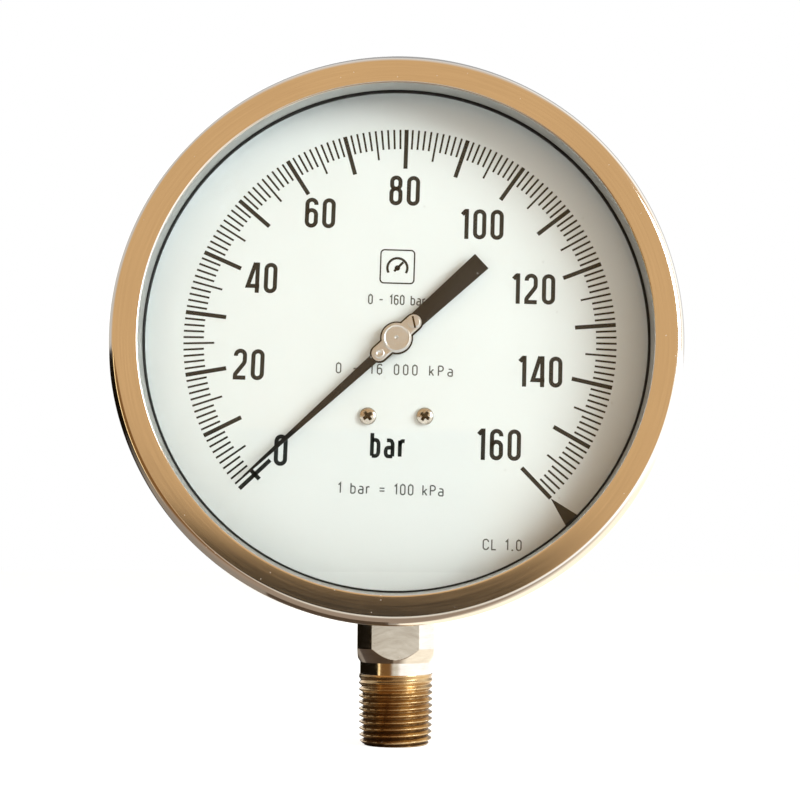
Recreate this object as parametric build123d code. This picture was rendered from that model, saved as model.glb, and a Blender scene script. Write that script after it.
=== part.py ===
from build123d import *
import os
from math import acos, atan2, cos, degrees, hypot, pi, radians, sin, tan

# Dry industrial Bourdon-tube pressure gauge, nominal size 150, bottom entry 1/2-14 NPT.
# Frame: +Z runs up the stem axis from the centre of the stem's lower end (the origin),
# -Y is the side that the dial faces and +X is the reader's right. All sizes are in millimetres.

# ---------------------------------------------------------------- overall sizes
DIAL_HEIGHT = 115.0         # stem's lower end to the dial's centre
FRONT_DEPTH = 34.0          # stem axis to the front of the bezel
BACK_DEPTH = 15.5           # stem axis to the back of the case
BEZEL_R = 80.5              # outside of the bayonet ring
CASE_R = 75.5               # outside of the drawn case
CASE_WALL = 1.2
CASE_CORNER_R = 5.0         # round between the case's side and its back
RUN_GAP = 0.3               # room between a turning piece and its neighbour
FACE_GAP = 0.1              # room between flat faces that turn past each other

# ---------------------------------------------------------------- bayonet ring
BEZEL_SHEET = 1.2
BEZEL_LENGTH = 17.0         # front face to the skirt's rear edge
BEZEL_EDGE_R = 2.6          # outer round of the front face
WINDOW_R = 72.0             # the opening inside the bezel's lip
LIP_LEAN = 0.4              # how far the lip's inner wall leans inwards
LIP_DEPTH = 6.3             # front face to the end of the folded lip
FACE_DROP = 0.4             # how far the front face falls towards the window
FLANGE_THICK = 1.5          # rolled flange on the case's mouth
TAB_COUNT = 4
TAB_SPAN = 18.0             # degrees taken by each bayonet tab
NOTCH_SPAN = 23.0           # degrees taken by each notch in the case flange
BEZEL_TURN = 30.0           # degrees from locked to free
TAB_REACH = 1.9             # how far a tab reaches under the flange

# ---------------------------------------------------------------- window and dial
GLASS_THICK = 4.0
GLASS_R = 75.0
SEAL_LIP = 1.2              # rubber in front of and behind the glass
SEAL_WEB = 1.7              # rubber round the glass's edge
SEAL_OPENING_R = 71.1       # inside the lip in front of the glass
SEAL_REAR_OPENING_R = 73.8  # inside the lip behind it
DIAL_THICK = 0.8
DIAL_R = 73.8
POINTER_ROOM = 4.9          # dial's printed face to the window glass
DIAL_EYE_R = 4.2            # hole round the pointer's bush
DIAL_SCREW_X = 8.15
DIAL_SCREW_DROP = 22.2      # below the dial's centre
SCREW_M3_R = 1.5
PAN_HEAD_R = 2.5
PAN_HEAD_THICK = 1.6

# ---------------------------------------------------------------- pointer
POINTER_REST = 222.6        # degrees, counter-clockwise from the reader's right
POINTER_SWEEP = 270.0       # zero mark to the end of the scale
OVER_TRAVEL = 4.0           # travel past the end of the scale
BLADE_THICK = 0.6
BLADE_RISE = 2.5            # dial's printed face to the blade's rear face
BLADE_TIP = 58.6
BLADE_KNIFE = 52.0          # where the fine tip begins
TIP_WIDTH = 0.5
KNIFE_WIDTH = 0.9
BLADE_WIDTH = 3.1
TAIL_LENGTH = 33.2
TAIL_ROOT_WIDTH = 4.4
TAIL_END_WIDTH = 5.7
HUB_LOBE_R = 4.75           # black lobe round the hub
EAR_LOBE_R = 2.7            # black lobes round the trim screw and the rivet
EAR_REACH = 6.7             # hub centre to the trim screw and to the rivet
HUB_BOSS_R = 3.95
HUB_BOSS_THICK = 0.7
HUB_PLATE_THICK = 0.4
HUB_PLATE_EAR_R = 2.2
HUB_PLATE_R = 4.3
BUSH_R = 3.2
TRIM_SHANK_R = 0.8
TRIM_HEAD_R = 1.75
RIVET_HEAD_R = 1.5
HEAD_THICK = 0.5
TRIM_TURN = 4.0             # degrees that the blade trims each way on the hub

# ---------------------------------------------------------------- movement
MODULE = 0.5
PINION_TEETH = 12
SECTOR_CIRCLE_TEETH = 108
SECTOR_CUT_TEETH = 14
PRESSURE_ANGLE = radians(20.0)
BACKLASH = 0.08
SECTOR_ADDENDUM = 0.3
PINION_ADDENDUM = 0.5
PINION_ROOT_DEPTH = 0.42
SECTOR_ROOT_DEPTH = 0.65
SECTOR_DIRECTION = -40.0    # from the dial's centre to the sector's pivot, degrees
SECTOR_BACK = 4.5
SECTOR_THICK = 1.5
TAIL_ARM = 6.5              # sector pivot to the link pin
LINK_LENGTH = 14.0
LINK_THICK = 1.0
LINK_GAP = 0.25             # beside the sector and the tip's arm
LINK_EYE_R = 2.6
LINK_PIN_R = 1.0
PIN_CLEARANCE = 0.05
OPEN_PIVOT_CLEARANCE = 0.4  # the linkage's open pivot, at the sector's tail
ARBOR_R = 1.2
PIVOT_R = 0.8
BUSH_WALL = 1.2
PLATE_THICK = 1.5
BACK_PLATE_FRONT = 1.0      # stem axis to the rear plate's front face
PLATE_SPACE = 10.0          # between the two plates
PLATE_LEFT = -20.0
PLATE_RIGHT = 30.5
PLATE_TOP = 16.5
PLATE_BOTTOM = -28.5
PLATE_CORNER_R = 5.0
PILLAR_R = 2.4
PILLAR_SPOTS = [(-15.0, 11.0), (25.0, 12.0), (-15.0, -23.5)]
POST_R = 2.6
SPRING_TURNS = 5.5
SPRING_STRIP = 0.22
SPRING_WIDTH = 0.9
SPRING_INNER_R = 2.5
SPRING_OUTER_R = 9.0
COLLET_R = 2.2

# ---------------------------------------------------------------- Bourdon tube
TUBE_R = 50.0               # centre line of the C-shaped tube
TUBE_WIDE = 13.0            # along the dial's axis
TUBE_DEEP = 6.0             # across the bend
TUBE_WALL = 1.0
TUBE_ARC = 261.0            # degrees, root to tip
TUBE_END = 0.0              # direction of the tip, degrees
TIP_BLOCK_DEEP = 9.0
TIP_BLOCK_WIDE = 16.0
TIP_BLOCK_LONG = 8.0
TIP_ARM_WIDE = 5.0

# ---------------------------------------------------------------- stem and socket
THREAD_LENGTH = 19.85
THREAD_FULL = 13.6          # where the threads begin to run out
THREAD_PITCH = 25.4 / 14
THREAD_END_R = 10.33        # crest radius at the stem's lower end
THREAD_MAX_R = 10.67
THREAD_DEPTH = 1.38
TAPER = 1 / 32              # growth of radius per length
END_CHAMFER = 1.2
NECK_R = 10.35
NECK_TOP = 23.2
CONE_TOP = 27.2
FLATS = 22.0                # across the wrench flats
BAR_R = 12.9                # bar that the flats are milled on
FLATS_TOP = 37.0
BLOCK_DROP = 71.0           # dial's centre down to the block's lower face
BLOCK_HEIGHT = 27.0
BLOCK_WIDTH = 25.0
BLOCK_FRONT = 10.0
ARM_WIDTH = 14.0
ARM_THICK = 8.0
ARM_TOP_DROP = 14.0         # dial's centre down to the arm's top
PORT_R = 3.0
PORT_DEPTH = 12.0
DUCT_R = 1.5
RESTRICTOR_LENGTH = 6.0
RESTRICTOR_HOLE_R = 0.4
CASE_HOLE_R = 13.5
GROMMET_R = 14.8
GROMMET_LIP = 1.2           # rubber below the case
GROMMET_HEIGHT = 4.7
CASE_SCREW_X = 7.0
CASE_SCREW_DROP = 61.0      # dial's centre down to the screws in the case's back
SCREW_M4_R = 2.0
CASE_SCREW_HEAD_R = 3.6
CASE_SCREW_HEAD = 1.6
VENT_RISE = 42.0            # dial's centre up to the safety vent
VENT_HOLE_R = 9.0
VENT_CAP_R = 12.0
VENT_CAP_THICK = 1.5
FIX_SCREW_X = 4.2

# ---------------------------------------------------------------- derived places
FACE = Plane(origin=(0, 0, DIAL_HEIGHT), x_dir=(1, 0, 0), z_dir=(0, -1, 0))
BLOCK_BOTTOM = DIAL_HEIGHT - BLOCK_DROP
BLOCK_TOP = BLOCK_BOTTOM + BLOCK_HEIGHT
GROMMET_BOTTOM = DIAL_HEIGHT - CASE_R - GROMMET_LIP
GROMMET_TOP = GROMMET_BOTTOM + GROMMET_HEIGHT
BEZEL_REAR = FRONT_DEPTH - BEZEL_LENGTH
LIP_END = FRONT_DEPTH - LIP_DEPTH
SEAL_FRONT = LIP_END - FACE_GAP
GLASS_FRONT = SEAL_FRONT - SEAL_LIP
GLASS_BACK = GLASS_FRONT - GLASS_THICK
SEAL_BACK = GLASS_BACK - SEAL_LIP
SEAL_R = GLASS_R + SEAL_WEB
FLANGE_BACK = SEAL_BACK - FLANGE_THICK
FLANGE_R = BEZEL_R - BEZEL_SHEET - RUN_GAP
CASE_INNER_R = CASE_R - CASE_WALL
CASE_FLOOR = -BACK_DEPTH + CASE_WALL
DIAL_FRONT = GLASS_BACK - POINTER_ROOM
DIAL_BACK = DIAL_FRONT - DIAL_THICK
BLADE_BACK = DIAL_FRONT + BLADE_RISE
BLADE_FRONT = BLADE_BACK + BLADE_THICK
HUB_PLATE_FRONT = BLADE_FRONT + HUB_PLATE_THICK
PLATE_FRONT_BACK = BACK_PLATE_FRONT + PLATE_SPACE
PLATE_FRONT_FRONT = PLATE_FRONT_BACK + PLATE_THICK
PLATE_REAR = BACK_PLATE_FRONT - PLATE_THICK
PINION_R = MODULE * PINION_TEETH / 2
SECTOR_R = MODULE * SECTOR_CIRCLE_TEETH / 2
CENTRE_DISTANCE = PINION_R + SECTOR_R
GEAR_RATIO = PINION_TEETH / SECTOR_CIRCLE_TEETH
FULL_SWEEP = POINTER_SWEEP + OVER_TRAVEL
SECTOR_SWING = FULL_SWEEP * GEAR_RATIO
LINK_BACK = SECTOR_BACK + SECTOR_THICK + LINK_GAP
LINK_FRONT = LINK_BACK + LINK_THICK


def polar(radius, angle, centre=(0.0, 0.0)):
    """A point at a radius and an angle in degrees from a centre."""
    return (centre[0] + radius * cos(radians(angle)), centre[1] + radius * sin(radians(angle)))


SECTOR_PIVOT = polar(CENTRE_DISTANCE, SECTOR_DIRECTION)
TUBE_MIDDLE = TUBE_END + TUBE_ARC / 2
TUBE_HALF = radians(TUBE_ARC / 2)
FLEX_CENTRE = polar(TUBE_R * sin(TUBE_HALF) / TUBE_HALF, TUBE_MIDDLE)
TAIL_REST = -SECTOR_SWING / 2
TAIL_PIN = polar(TAIL_ARM, TAIL_REST, SECTOR_PIVOT)
TIP_PIN_MIDDLE = (SECTOR_PIVOT[0] + TAIL_ARM, SECTOR_PIVOT[1] + LINK_LENGTH)
TAIL_RISE = 2 * TAIL_ARM * sin(radians(SECTOR_SWING / 2))
TIP_SWING = degrees(TAIL_RISE / (TIP_PIN_MIDDLE[0] - FLEX_CENTRE[0]))


def turned_point(point, centre, angle):
    """A point turned counter-clockwise about a centre by an angle in degrees."""
    radius = hypot(point[0] - centre[0], point[1] - centre[1])
    start = degrees(atan2(point[1] - centre[1], point[0] - centre[0]))
    return polar(radius, start + angle, centre)


TIP_PIN = turned_point(TIP_PIN_MIDDLE, FLEX_CENTRE, -TIP_SWING / 2)


# ---------------------------------------------------------------- shape helpers
def at(x, z, shape):
    """Moves a shape sideways and up on the dial's plane."""
    return Pos(x, z, 0) * shape


def prism(face, back, front):
    """Extrudes a flat face of the dial's plane from one depth to another."""
    return Pos(0, 0, back) * extrude(face, amount=front - back)


def disc(radius, back, front, spot=(0.0, 0.0)):
    """A round plate or pin along the dial's axis."""
    return at(spot[0], spot[1], prism(Circle(radius), back, front))


def ring(outer, inner, back, front, spot=(0.0, 0.0)):
    """A flat ring or a tube along the dial's axis."""
    return disc(outer, back, front, spot) - disc(inner, back, front, spot)


def spun(points, radii):
    """A body turned about the dial's axis from (radius, depth) corners."""
    line = FilletPolyline(*[(r, 0, w) for r, w in points], radius=radii, close=True)
    return revolve(make_face(line), Axis.Z, 360)


def wedge(radius, middle, span, back, front):
    """A pie slice along the dial's axis."""
    reach = radius / cos(radians(span / 2))
    corners = [(0, 0), polar(reach, middle - span / 2), polar(reach, middle + span / 2)]
    return prism(make_face(Polyline(*corners, close=True)), back, front)


def bar(width, length, spot, angle):
    """A round-ended flat outline that starts at a spot and runs along an angle."""
    middle = polar(length / 2, angle, spot)
    return Pos(*middle) * Rot(0, 0, angle) * SlotCenterToCenter(length, width)


def cross_recess(head_r, front, depth, spot, turn=0.0):
    """Cross-shaped driver recess in the front of a screw's head."""
    arm = Rectangle(head_r * 1.15, head_r * 0.26) + Rectangle(head_r * 0.26, head_r * 1.15)
    return at(spot[0], spot[1], Rot(0, 0, turn) * prism(arm, front - depth, front + 1))


def pan_screw(spot, seat, head_r, head_thick, shank_r, shank_length):
    """A pan-head screw that comes in from the front and seats at a depth."""
    head = disc(head_r, seat, seat + head_thick, spot)
    rim = head.edges().filter_by(GeomType.CIRCLE).sort_by(Axis.Z)[-1]
    head = fillet(rim, head_thick * 0.45)
    shank = disc(shank_r, seat - shank_length, seat, spot)
    return head + shank - cross_recess(head_r, seat + head_thick, head_thick * 0.6, spot)


# ---------------------------------------------------------------- case, bezel, window
def case_shell():
    """Drawn cup with a flange at its mouth, bayonet notches, stem hole and vent hole."""
    profile = [(0, -BACK_DEPTH), (CASE_R, -BACK_DEPTH), (CASE_R, FLANGE_BACK), (FLANGE_R, FLANGE_BACK),
               (FLANGE_R, SEAL_BACK), (CASE_INNER_R, SEAL_BACK), (CASE_INNER_R, CASE_FLOOR), (0, CASE_FLOOR)]
    rounds = [0, CASE_CORNER_R, 0, 0, 0, 0, CASE_CORNER_R - CASE_WALL, 0]
    shell = spun(profile, rounds)
    for i in range(TAB_COUNT):
        middle = 45 + BEZEL_TURN / 2 + i * 360 / TAB_COUNT
        notch = wedge(FLANGE_R + 5, middle, NOTCH_SPAN, FLANGE_BACK - 0.01, SEAL_BACK + 1)
        shell -= notch - disc(SEAL_R + 0.05, FLANGE_BACK - 1, SEAL_BACK + 2)
    shell -= disc(VENT_HOLE_R, -BACK_DEPTH - 1, CASE_FLOOR + 1, (0, VENT_RISE))
    for x in (-CASE_SCREW_X, CASE_SCREW_X):
        shell -= disc(SCREW_M4_R, -BACK_DEPTH - 1, CASE_FLOOR + 1, (x, -CASE_SCREW_DROP))
    stem_hole = Pos(0, 0, BLOCK_BOTTOM / 2) * Cylinder(CASE_HOLE_R, BLOCK_BOTTOM)
    return FACE * shell - stem_hole


def bezel_ring():
    """Folded sheet ring with four inward tabs that hook behind the case's flange."""
    sheet = BEZEL_SHEET
    corner = BEZEL_EDGE_R
    lip_foot = WINDOW_R - LIP_LEAN
    profile = [(BEZEL_R, BEZEL_REAR), (BEZEL_R, FRONT_DEPTH), (WINDOW_R, FRONT_DEPTH - FACE_DROP),
               (lip_foot, LIP_END), (lip_foot + sheet, LIP_END),
               (WINDOW_R + sheet, FRONT_DEPTH - FACE_DROP - sheet), (BEZEL_R - sheet, FRONT_DEPTH - sheet),
               (BEZEL_R - sheet, BEZEL_REAR)]
    rounds = [0, corner, 0.7, 0.3, 0.3, 0.3, corner - sheet, 0]
    shell = spun(profile, rounds)
    tab_front = FLANGE_BACK - FACE_GAP
    tab_inner = FLANGE_R - TAB_REACH
    tab_ring = ring(BEZEL_R - sheet / 2, tab_inner, BEZEL_REAR, tab_front)
    for i in range(TAB_COUNT):
        middle = 45 - BEZEL_TURN / 2 + i * 360 / TAB_COUNT
        shell += tab_ring & wedge(BEZEL_R + 5, middle, TAB_SPAN, BEZEL_REAR - 1, tab_front + 1)
    return FACE * shell


def window_glass():
    """Flat laminated safety glass with a small ground edge."""
    pane = disc(GLASS_R, GLASS_BACK, GLASS_FRONT)
    return FACE * chamfer(pane.edges().filter_by(GeomType.CIRCLE), 0.3)


def window_seal():
    """Rubber channel that holds the glass between the bezel's lip and the case."""
    step = (GLASS_BACK + GLASS_FRONT) / 2
    profile = [(SEAL_OPENING_R, SEAL_FRONT), (SEAL_R, SEAL_FRONT), (SEAL_R, SEAL_BACK),
               (SEAL_REAR_OPENING_R, SEAL_BACK), (SEAL_REAR_OPENING_R, step), (SEAL_OPENING_R, step)]
    return FACE * (spun(profile, [0.3, 0, 0, 0.3, 0, 0]) - disc(GLASS_R, GLASS_BACK, GLASS_FRONT))


def vent_plug():
    """Rubber safety plug that closes the case's blow-out hole."""
    outer = disc(VENT_CAP_R, -BACK_DEPTH - VENT_CAP_THICK, -BACK_DEPTH, (0, VENT_RISE))
    outer = fillet(outer.edges().filter_by(GeomType.CIRCLE).sort_by(Axis.Z)[0], VENT_CAP_THICK * 0.6)
    neck = disc(VENT_HOLE_R, -BACK_DEPTH, CASE_FLOOR, (0, VENT_RISE))
    lip = disc(VENT_HOLE_R + 1, CASE_FLOOR, CASE_FLOOR + VENT_CAP_THICK, (0, VENT_RISE))
    return FACE * (outer + neck + lip)


def case_screws():
    """Two screws through the case's back into the socket block."""
    screws = []
    for x in (-CASE_SCREW_X, CASE_SCREW_X):
        screw = pan_screw((0, 0), 0, CASE_SCREW_HEAD_R, CASE_SCREW_HEAD, SCREW_M4_R, 9.0)
        screws.append(Pos(x, BACK_DEPTH, DIAL_HEIGHT - CASE_SCREW_DROP) * Rot(-90, 0, 0) * screw)
    return screws


# ---------------------------------------------------------------- dial
def dial_plate():
    """Flat aluminium dial with the pointer's eye and two screw holes."""
    plate = disc(DIAL_R, DIAL_BACK, DIAL_FRONT) - disc(DIAL_EYE_R, DIAL_BACK, DIAL_FRONT)
    for x in (-DIAL_SCREW_X, DIAL_SCREW_X):
        plate -= disc(SCREW_M3_R, DIAL_BACK, DIAL_FRONT, (x, -DIAL_SCREW_DROP))
    return FACE * plate


def dial_screws():
    """Two pan-head cross-recess screws that hold the dial on its posts."""
    spots = [(x, -DIAL_SCREW_DROP) for x in (-DIAL_SCREW_X, DIAL_SCREW_X)]
    return [FACE * pan_screw(spot, DIAL_FRONT, PAN_HEAD_R, PAN_HEAD_THICK, SCREW_M3_R, 4.0) for spot in spots]


def dial_posts():
    """Two tapped posts between the movement's front plate and the dial."""
    posts = []
    for x in (-DIAL_SCREW_X, DIAL_SCREW_X):
        post = disc(POST_R, PLATE_FRONT_FRONT, DIAL_BACK, (x, -DIAL_SCREW_DROP))
        posts.append(FACE * (post - disc(SCREW_M3_R, DIAL_FRONT - 4.0, DIAL_BACK, (x, -DIAL_SCREW_DROP))))
    return posts


# ---------------------------------------------------------------- pointer
def along_pointer(shape):
    """Turns a shape drawn along +X to the pointer's rest direction."""
    return FACE * (Rot(0, 0, POINTER_REST) * shape)


def arc_slot(radius, angle, half_sweep, clear_r):
    """The outline swept by a round pin that turns about the hub."""
    places = [angle - half_sweep, angle, angle + half_sweep]
    return Sketch() + [Pos(*polar(radius, place)) * Circle(clear_r) for place in places]


def pointer_blade():
    """Blackened blade with a knife tip, a square tail and lobes round the hub."""
    outline = [(0, BLADE_WIDTH / 2), (BLADE_KNIFE, KNIFE_WIDTH / 2), (BLADE_TIP, TIP_WIDTH / 2),
               (BLADE_TIP, -TIP_WIDTH / 2), (BLADE_KNIFE, -KNIFE_WIDTH / 2), (0, -BLADE_WIDTH / 2)]
    blade = make_face(Polyline(*outline, close=True))
    tail = [(0, TAIL_ROOT_WIDTH / 2), (-TAIL_LENGTH, TAIL_END_WIDTH / 2),
            (-TAIL_LENGTH, -TAIL_END_WIDTH / 2), (0, -TAIL_ROOT_WIDTH / 2)]
    blade += make_face(Polyline(*tail, close=True))
    blade += Circle(HUB_LOBE_R) + SlotCenterToCenter(2 * EAR_REACH, 2 * EAR_LOBE_R)
    blade -= Circle(BUSH_R + PIN_CLEARANCE)
    for angle in (0, 180):
        blade -= arc_slot(EAR_REACH, angle, TRIM_TURN, TRIM_SHANK_R + RUN_GAP / 2)
    return along_pointer(prism(blade, BLADE_BACK, BLADE_FRONT))


def pointer_bush():
    """Turned bush that carries the blade, with the dimpled boss in front."""
    collar = disc(BUSH_R + 1.2, BLADE_BACK - FACE_GAP - 0.9, BLADE_BACK - FACE_GAP)
    body = disc(BUSH_R, BLADE_BACK - 1.4, BLADE_FRONT + FACE_GAP)
    bush = collar + body - disc(ARBOR_R, BLADE_BACK - 2, BLADE_FRONT + FACE_GAP)
    return FACE * bush


def hub_plate():
    """Nickelled plate with an ear at each side that clamps the blade, and its turned boss."""
    back = BLADE_FRONT + FACE_GAP
    face = Circle(HUB_PLATE_R) + SlotCenterToCenter(2 * EAR_REACH, 2 * HUB_PLATE_EAR_R)
    plate = prism(face, back, HUB_PLATE_FRONT)
    boss = disc(HUB_BOSS_R, HUB_PLATE_FRONT, HUB_PLATE_FRONT + HUB_BOSS_THICK)
    boss = fillet(boss.edges().filter_by(GeomType.CIRCLE).sort_by(Axis.Z)[-1], 0.2)
    boss -= disc(0.45, HUB_PLATE_FRONT + 0.3, HUB_PLATE_FRONT + 2)
    for x in (-EAR_REACH, EAR_REACH):
        plate -= disc(TRIM_SHANK_R + PIN_CLEARANCE, back - 1, HUB_PLATE_FRONT + 1, (x, 0))
    return along_pointer(plate + boss)


def hub_rivet():
    """Rivet at the tip side of the hub plate."""
    spot = (EAR_REACH, 0)
    head = disc(RIVET_HEAD_R, HUB_PLATE_FRONT, HUB_PLATE_FRONT + HEAD_THICK, spot)
    head = fillet(head.edges().filter_by(GeomType.CIRCLE).sort_by(Axis.Z)[-1], HEAD_THICK * 0.5)
    shank = disc(TRIM_SHANK_R, BLADE_BACK - 0.5, HUB_PLATE_FRONT, spot)
    return along_pointer(head + shank)


def trim_screw():
    """Slotted adjusting screw at the tail side of the hub plate."""
    spot = (-EAR_REACH, 0)
    seat = HUB_PLATE_FRONT + FACE_GAP / 2
    head = disc(TRIM_HEAD_R, seat, seat + HEAD_THICK, spot)
    head -= at(spot[0], spot[1], Rot(0, 0, 60) * prism(Rectangle(4, 0.4), seat + 0.2, seat + 2))
    shank = disc(TRIM_SHANK_R, BLADE_BACK - 0.5, seat, spot)
    return along_pointer(head + shank)


# ---------------------------------------------------------------- gears
def involute(angle):
    """The involute function of an angle in radians."""
    return tan(angle) - angle


def half_tooth_angle(radius, pitch_r):
    """Half of a tooth's angle, in degrees, at a radius of a gear."""
    base_r = pitch_r * cos(PRESSURE_ANGLE)
    half_at_pitch = (pi * MODULE / 2 - BACKLASH / 2) / (2 * pitch_r)
    pressure = acos(min(1.0, base_r / radius)) if radius > base_r else 0.0
    return degrees(half_at_pitch + involute(PRESSURE_ANGLE) - involute(pressure))


def tooth_points(middle, pitch_r, root_r, tip_r, steps=5):
    """Corner points of one tooth, from its clockwise root to its other root."""
    radii = [root_r + (tip_r - root_r) * i / steps for i in range(steps + 1)]
    rising = [polar(r, middle - half_tooth_angle(r, pitch_r)) for r in radii]
    falling = [polar(r, middle + half_tooth_angle(r, pitch_r)) for r in reversed(radii)]
    return rising + falling


def pinion_face():
    """Outline of the whole pinion, with one tooth pointing at the sector's pivot."""
    points = []
    for i in range(PINION_TEETH):
        middle = SECTOR_DIRECTION + i * 360 / PINION_TEETH
        points += tooth_points(middle, PINION_R, PINION_R - PINION_ROOT_DEPTH, PINION_R + PINION_ADDENDUM)
    return make_face(Polyline(*points, close=True))


def sector_face():
    """Outline of the sector: toothed rim, web, hub and tail, about its own pivot."""
    step = 360 / SECTOR_CIRCLE_TEETH
    towards_pinion = SECTOR_DIRECTION + 180
    root_r = SECTOR_R - SECTOR_ROOT_DEPTH
    first = towards_pinion + 1.5 * step
    points = []
    for i in range(SECTOR_CUT_TEETH):
        middle = first - step * i
        points += reversed(tooth_points(middle, SECTOR_R, root_r, SECTOR_R + SECTOR_ADDENDUM))
    last = first - step * (SECTOR_CUT_TEETH - 1)
    points.append(polar(root_r, last - step))
    points.append(polar(4.0, last - step))
    points.append(polar(4.0, first + step))
    points.append(polar(root_r, first + step))
    face = make_face(Polyline(*points, close=True))
    middle = (first + last) / 2
    opening = make_face(Polyline(polar(9, middle - 8), polar(22, middle - 13), polar(22.6, middle),
                                 polar(22, middle + 13), polar(9, middle + 8), close=True))
    face -= opening
    face += Circle(5.0)
    face += bar(2 * LINK_EYE_R, TAIL_ARM, (0, 0), TAIL_REST)
    return face


def sector_gear():
    """Toothed sector with its tail, pressed on the sector arbor."""
    plate = prism(sector_face(), SECTOR_BACK, SECTOR_BACK + SECTOR_THICK)
    plate -= disc(ARBOR_R, SECTOR_BACK, SECTOR_BACK + SECTOR_THICK)
    plate -= disc(LINK_PIN_R, SECTOR_BACK, SECTOR_BACK + SECTOR_THICK, polar(TAIL_ARM, TAIL_REST))
    return FACE * at(*SECTOR_PIVOT, plate)


def sector_arbor():
    """Staff of the sector, with a pivot at each end."""
    middle = disc(ARBOR_R, BACK_PLATE_FRONT + RUN_GAP, PLATE_FRONT_BACK - RUN_GAP, SECTOR_PIVOT)
    return FACE * (middle + disc(PIVOT_R, PLATE_REAR, PLATE_FRONT_FRONT, SECTOR_PIVOT))


def headed_pin(spot, back, front, head_back):
    """A round pin with a wider head in front."""
    return FACE * (disc(LINK_PIN_R, back, front, spot) + disc(LINK_PIN_R + 0.9, head_back, front, spot))


def tail_pin():
    """Pin in the sector's tail that the link pulls on."""
    head_back = LINK_FRONT + FACE_GAP
    return headed_pin(TAIL_PIN, SECTOR_BACK, head_back + 0.6, head_back)


def pinion_arbor():
    """Pinion staff: rear pivot, toothed pinion, front journal and the pointer's seat."""
    staff = disc(PIVOT_R, PLATE_REAR, BACK_PLATE_FRONT + RUN_GAP)
    staff += disc(ARBOR_R, BACK_PLATE_FRONT + RUN_GAP, BLADE_FRONT + FACE_GAP)
    staff += prism(pinion_face(), SECTOR_BACK - 1, SECTOR_BACK + SECTOR_THICK + 1)
    return FACE * staff


def spring_collet():
    """Collet that holds the hairspring's inner end on the pinion staff."""
    back = PLATE_FRONT_BACK - 2.4
    return FACE * ring(COLLET_R, ARBOR_R, back, back + 1.6)


def hairspring():
    """Flat spiral strip from the collet to the stud."""
    steps = 24
    rows = [[], []]
    for i in range(int(SPRING_TURNS * steps) + 1):
        turn = i / steps
        grow = (SPRING_OUTER_R - SPRING_INNER_R) * turn / SPRING_TURNS
        for row, half in zip(rows, (-SPRING_STRIP / 2, SPRING_STRIP / 2)):
            row.append(polar(SPRING_INNER_R + grow + half, turn * 360))
    strip = make_face(Spline(*rows[0]) + Line(rows[0][-1], rows[1][-1]) + Spline(*rows[1])
                      + Line(rows[1][0], rows[0][0]))
    back = PLATE_FRONT_BACK - 2.1
    return FACE * prism(strip, back, back + SPRING_WIDTH)


def spring_stud():
    """Stud on the front plate that holds the hairspring's outer end."""
    spot = polar(SPRING_OUTER_R + 1.0, SPRING_TURNS * 360)
    return FACE * disc(0.85, PLATE_FRONT_BACK - 2.6, PLATE_FRONT_BACK, spot)


# ---------------------------------------------------------------- movement frame
def plate_blank(back):
    """Blank of a movement plate with rounded corners."""
    width = PLATE_RIGHT - PLATE_LEFT
    height = PLATE_TOP - PLATE_BOTTOM
    face = Pos((PLATE_LEFT + PLATE_RIGHT) / 2, (PLATE_TOP + PLATE_BOTTOM) / 2) * RectangleRounded(
        width, height, PLATE_CORNER_R)
    return prism(face, back, back + PLATE_THICK)


def bush_spots():
    """Centres of the pinion's and the sector's bearings."""
    return [(0.0, 0.0), SECTOR_PIVOT]


def fixing_spots():
    """Centres of the screws that hold the movement on the socket's arm."""
    return [(x, -DIAL_SCREW_DROP - 0.3) for x in (-FIX_SCREW_X, FIX_SCREW_X)]


def rear_plate():
    """Movement plate that sits on the socket's arm."""
    plate = plate_blank(PLATE_REAR)
    for spot in bush_spots():
        plate -= disc(PIVOT_R + BUSH_WALL, PLATE_REAR, BACK_PLATE_FRONT, spot)
    for spot in fixing_spots():
        plate -= disc(SCREW_M3_R, PLATE_REAR, BACK_PLATE_FRONT, spot)
    return FACE * plate


def front_plate():
    """Movement plate behind the dial."""
    plate = plate_blank(PLATE_FRONT_BACK)
    plate -= disc(ARBOR_R + BUSH_WALL, PLATE_FRONT_BACK, PLATE_FRONT_FRONT)
    plate -= disc(PIVOT_R + BUSH_WALL, PLATE_FRONT_BACK, PLATE_FRONT_FRONT, SECTOR_PIVOT)
    for spot in PILLAR_SPOTS:
        plate -= disc(SCREW_M3_R, PLATE_FRONT_BACK, PLATE_FRONT_FRONT, spot)
    return FACE * plate


def rear_bushes():
    """Two brass bearings pressed in the rear plate."""
    return [FACE * ring(PIVOT_R + BUSH_WALL, PIVOT_R + PIN_CLEARANCE, PLATE_REAR, BACK_PLATE_FRONT, spot)
            for spot in bush_spots()]


def front_bushes():
    """Two brass bearings pressed in the front plate."""
    pinion = ring(ARBOR_R + BUSH_WALL, ARBOR_R + PIN_CLEARANCE, PLATE_FRONT_BACK, PLATE_FRONT_FRONT)
    sector = ring(PIVOT_R + BUSH_WALL, PIVOT_R + PIN_CLEARANCE, PLATE_FRONT_BACK, PLATE_FRONT_FRONT,
                  SECTOR_PIVOT)
    return [FACE * pinion, FACE * sector]


def pillars():
    """Three tapped pillars between the movement plates."""
    made = []
    for spot in PILLAR_SPOTS:
        pillar = disc(PILLAR_R, BACK_PLATE_FRONT, PLATE_FRONT_BACK, spot)
        made.append(FACE * (pillar - disc(SCREW_M3_R, PLATE_FRONT_BACK - 4, PLATE_FRONT_BACK, spot)))
    return made


def plate_screws():
    """Three screws through the front plate into the pillars."""
    return [FACE * pan_screw(spot, PLATE_FRONT_FRONT, PAN_HEAD_R, PAN_HEAD_THICK, SCREW_M3_R, 5.0)
            for spot in PILLAR_SPOTS]


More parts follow.
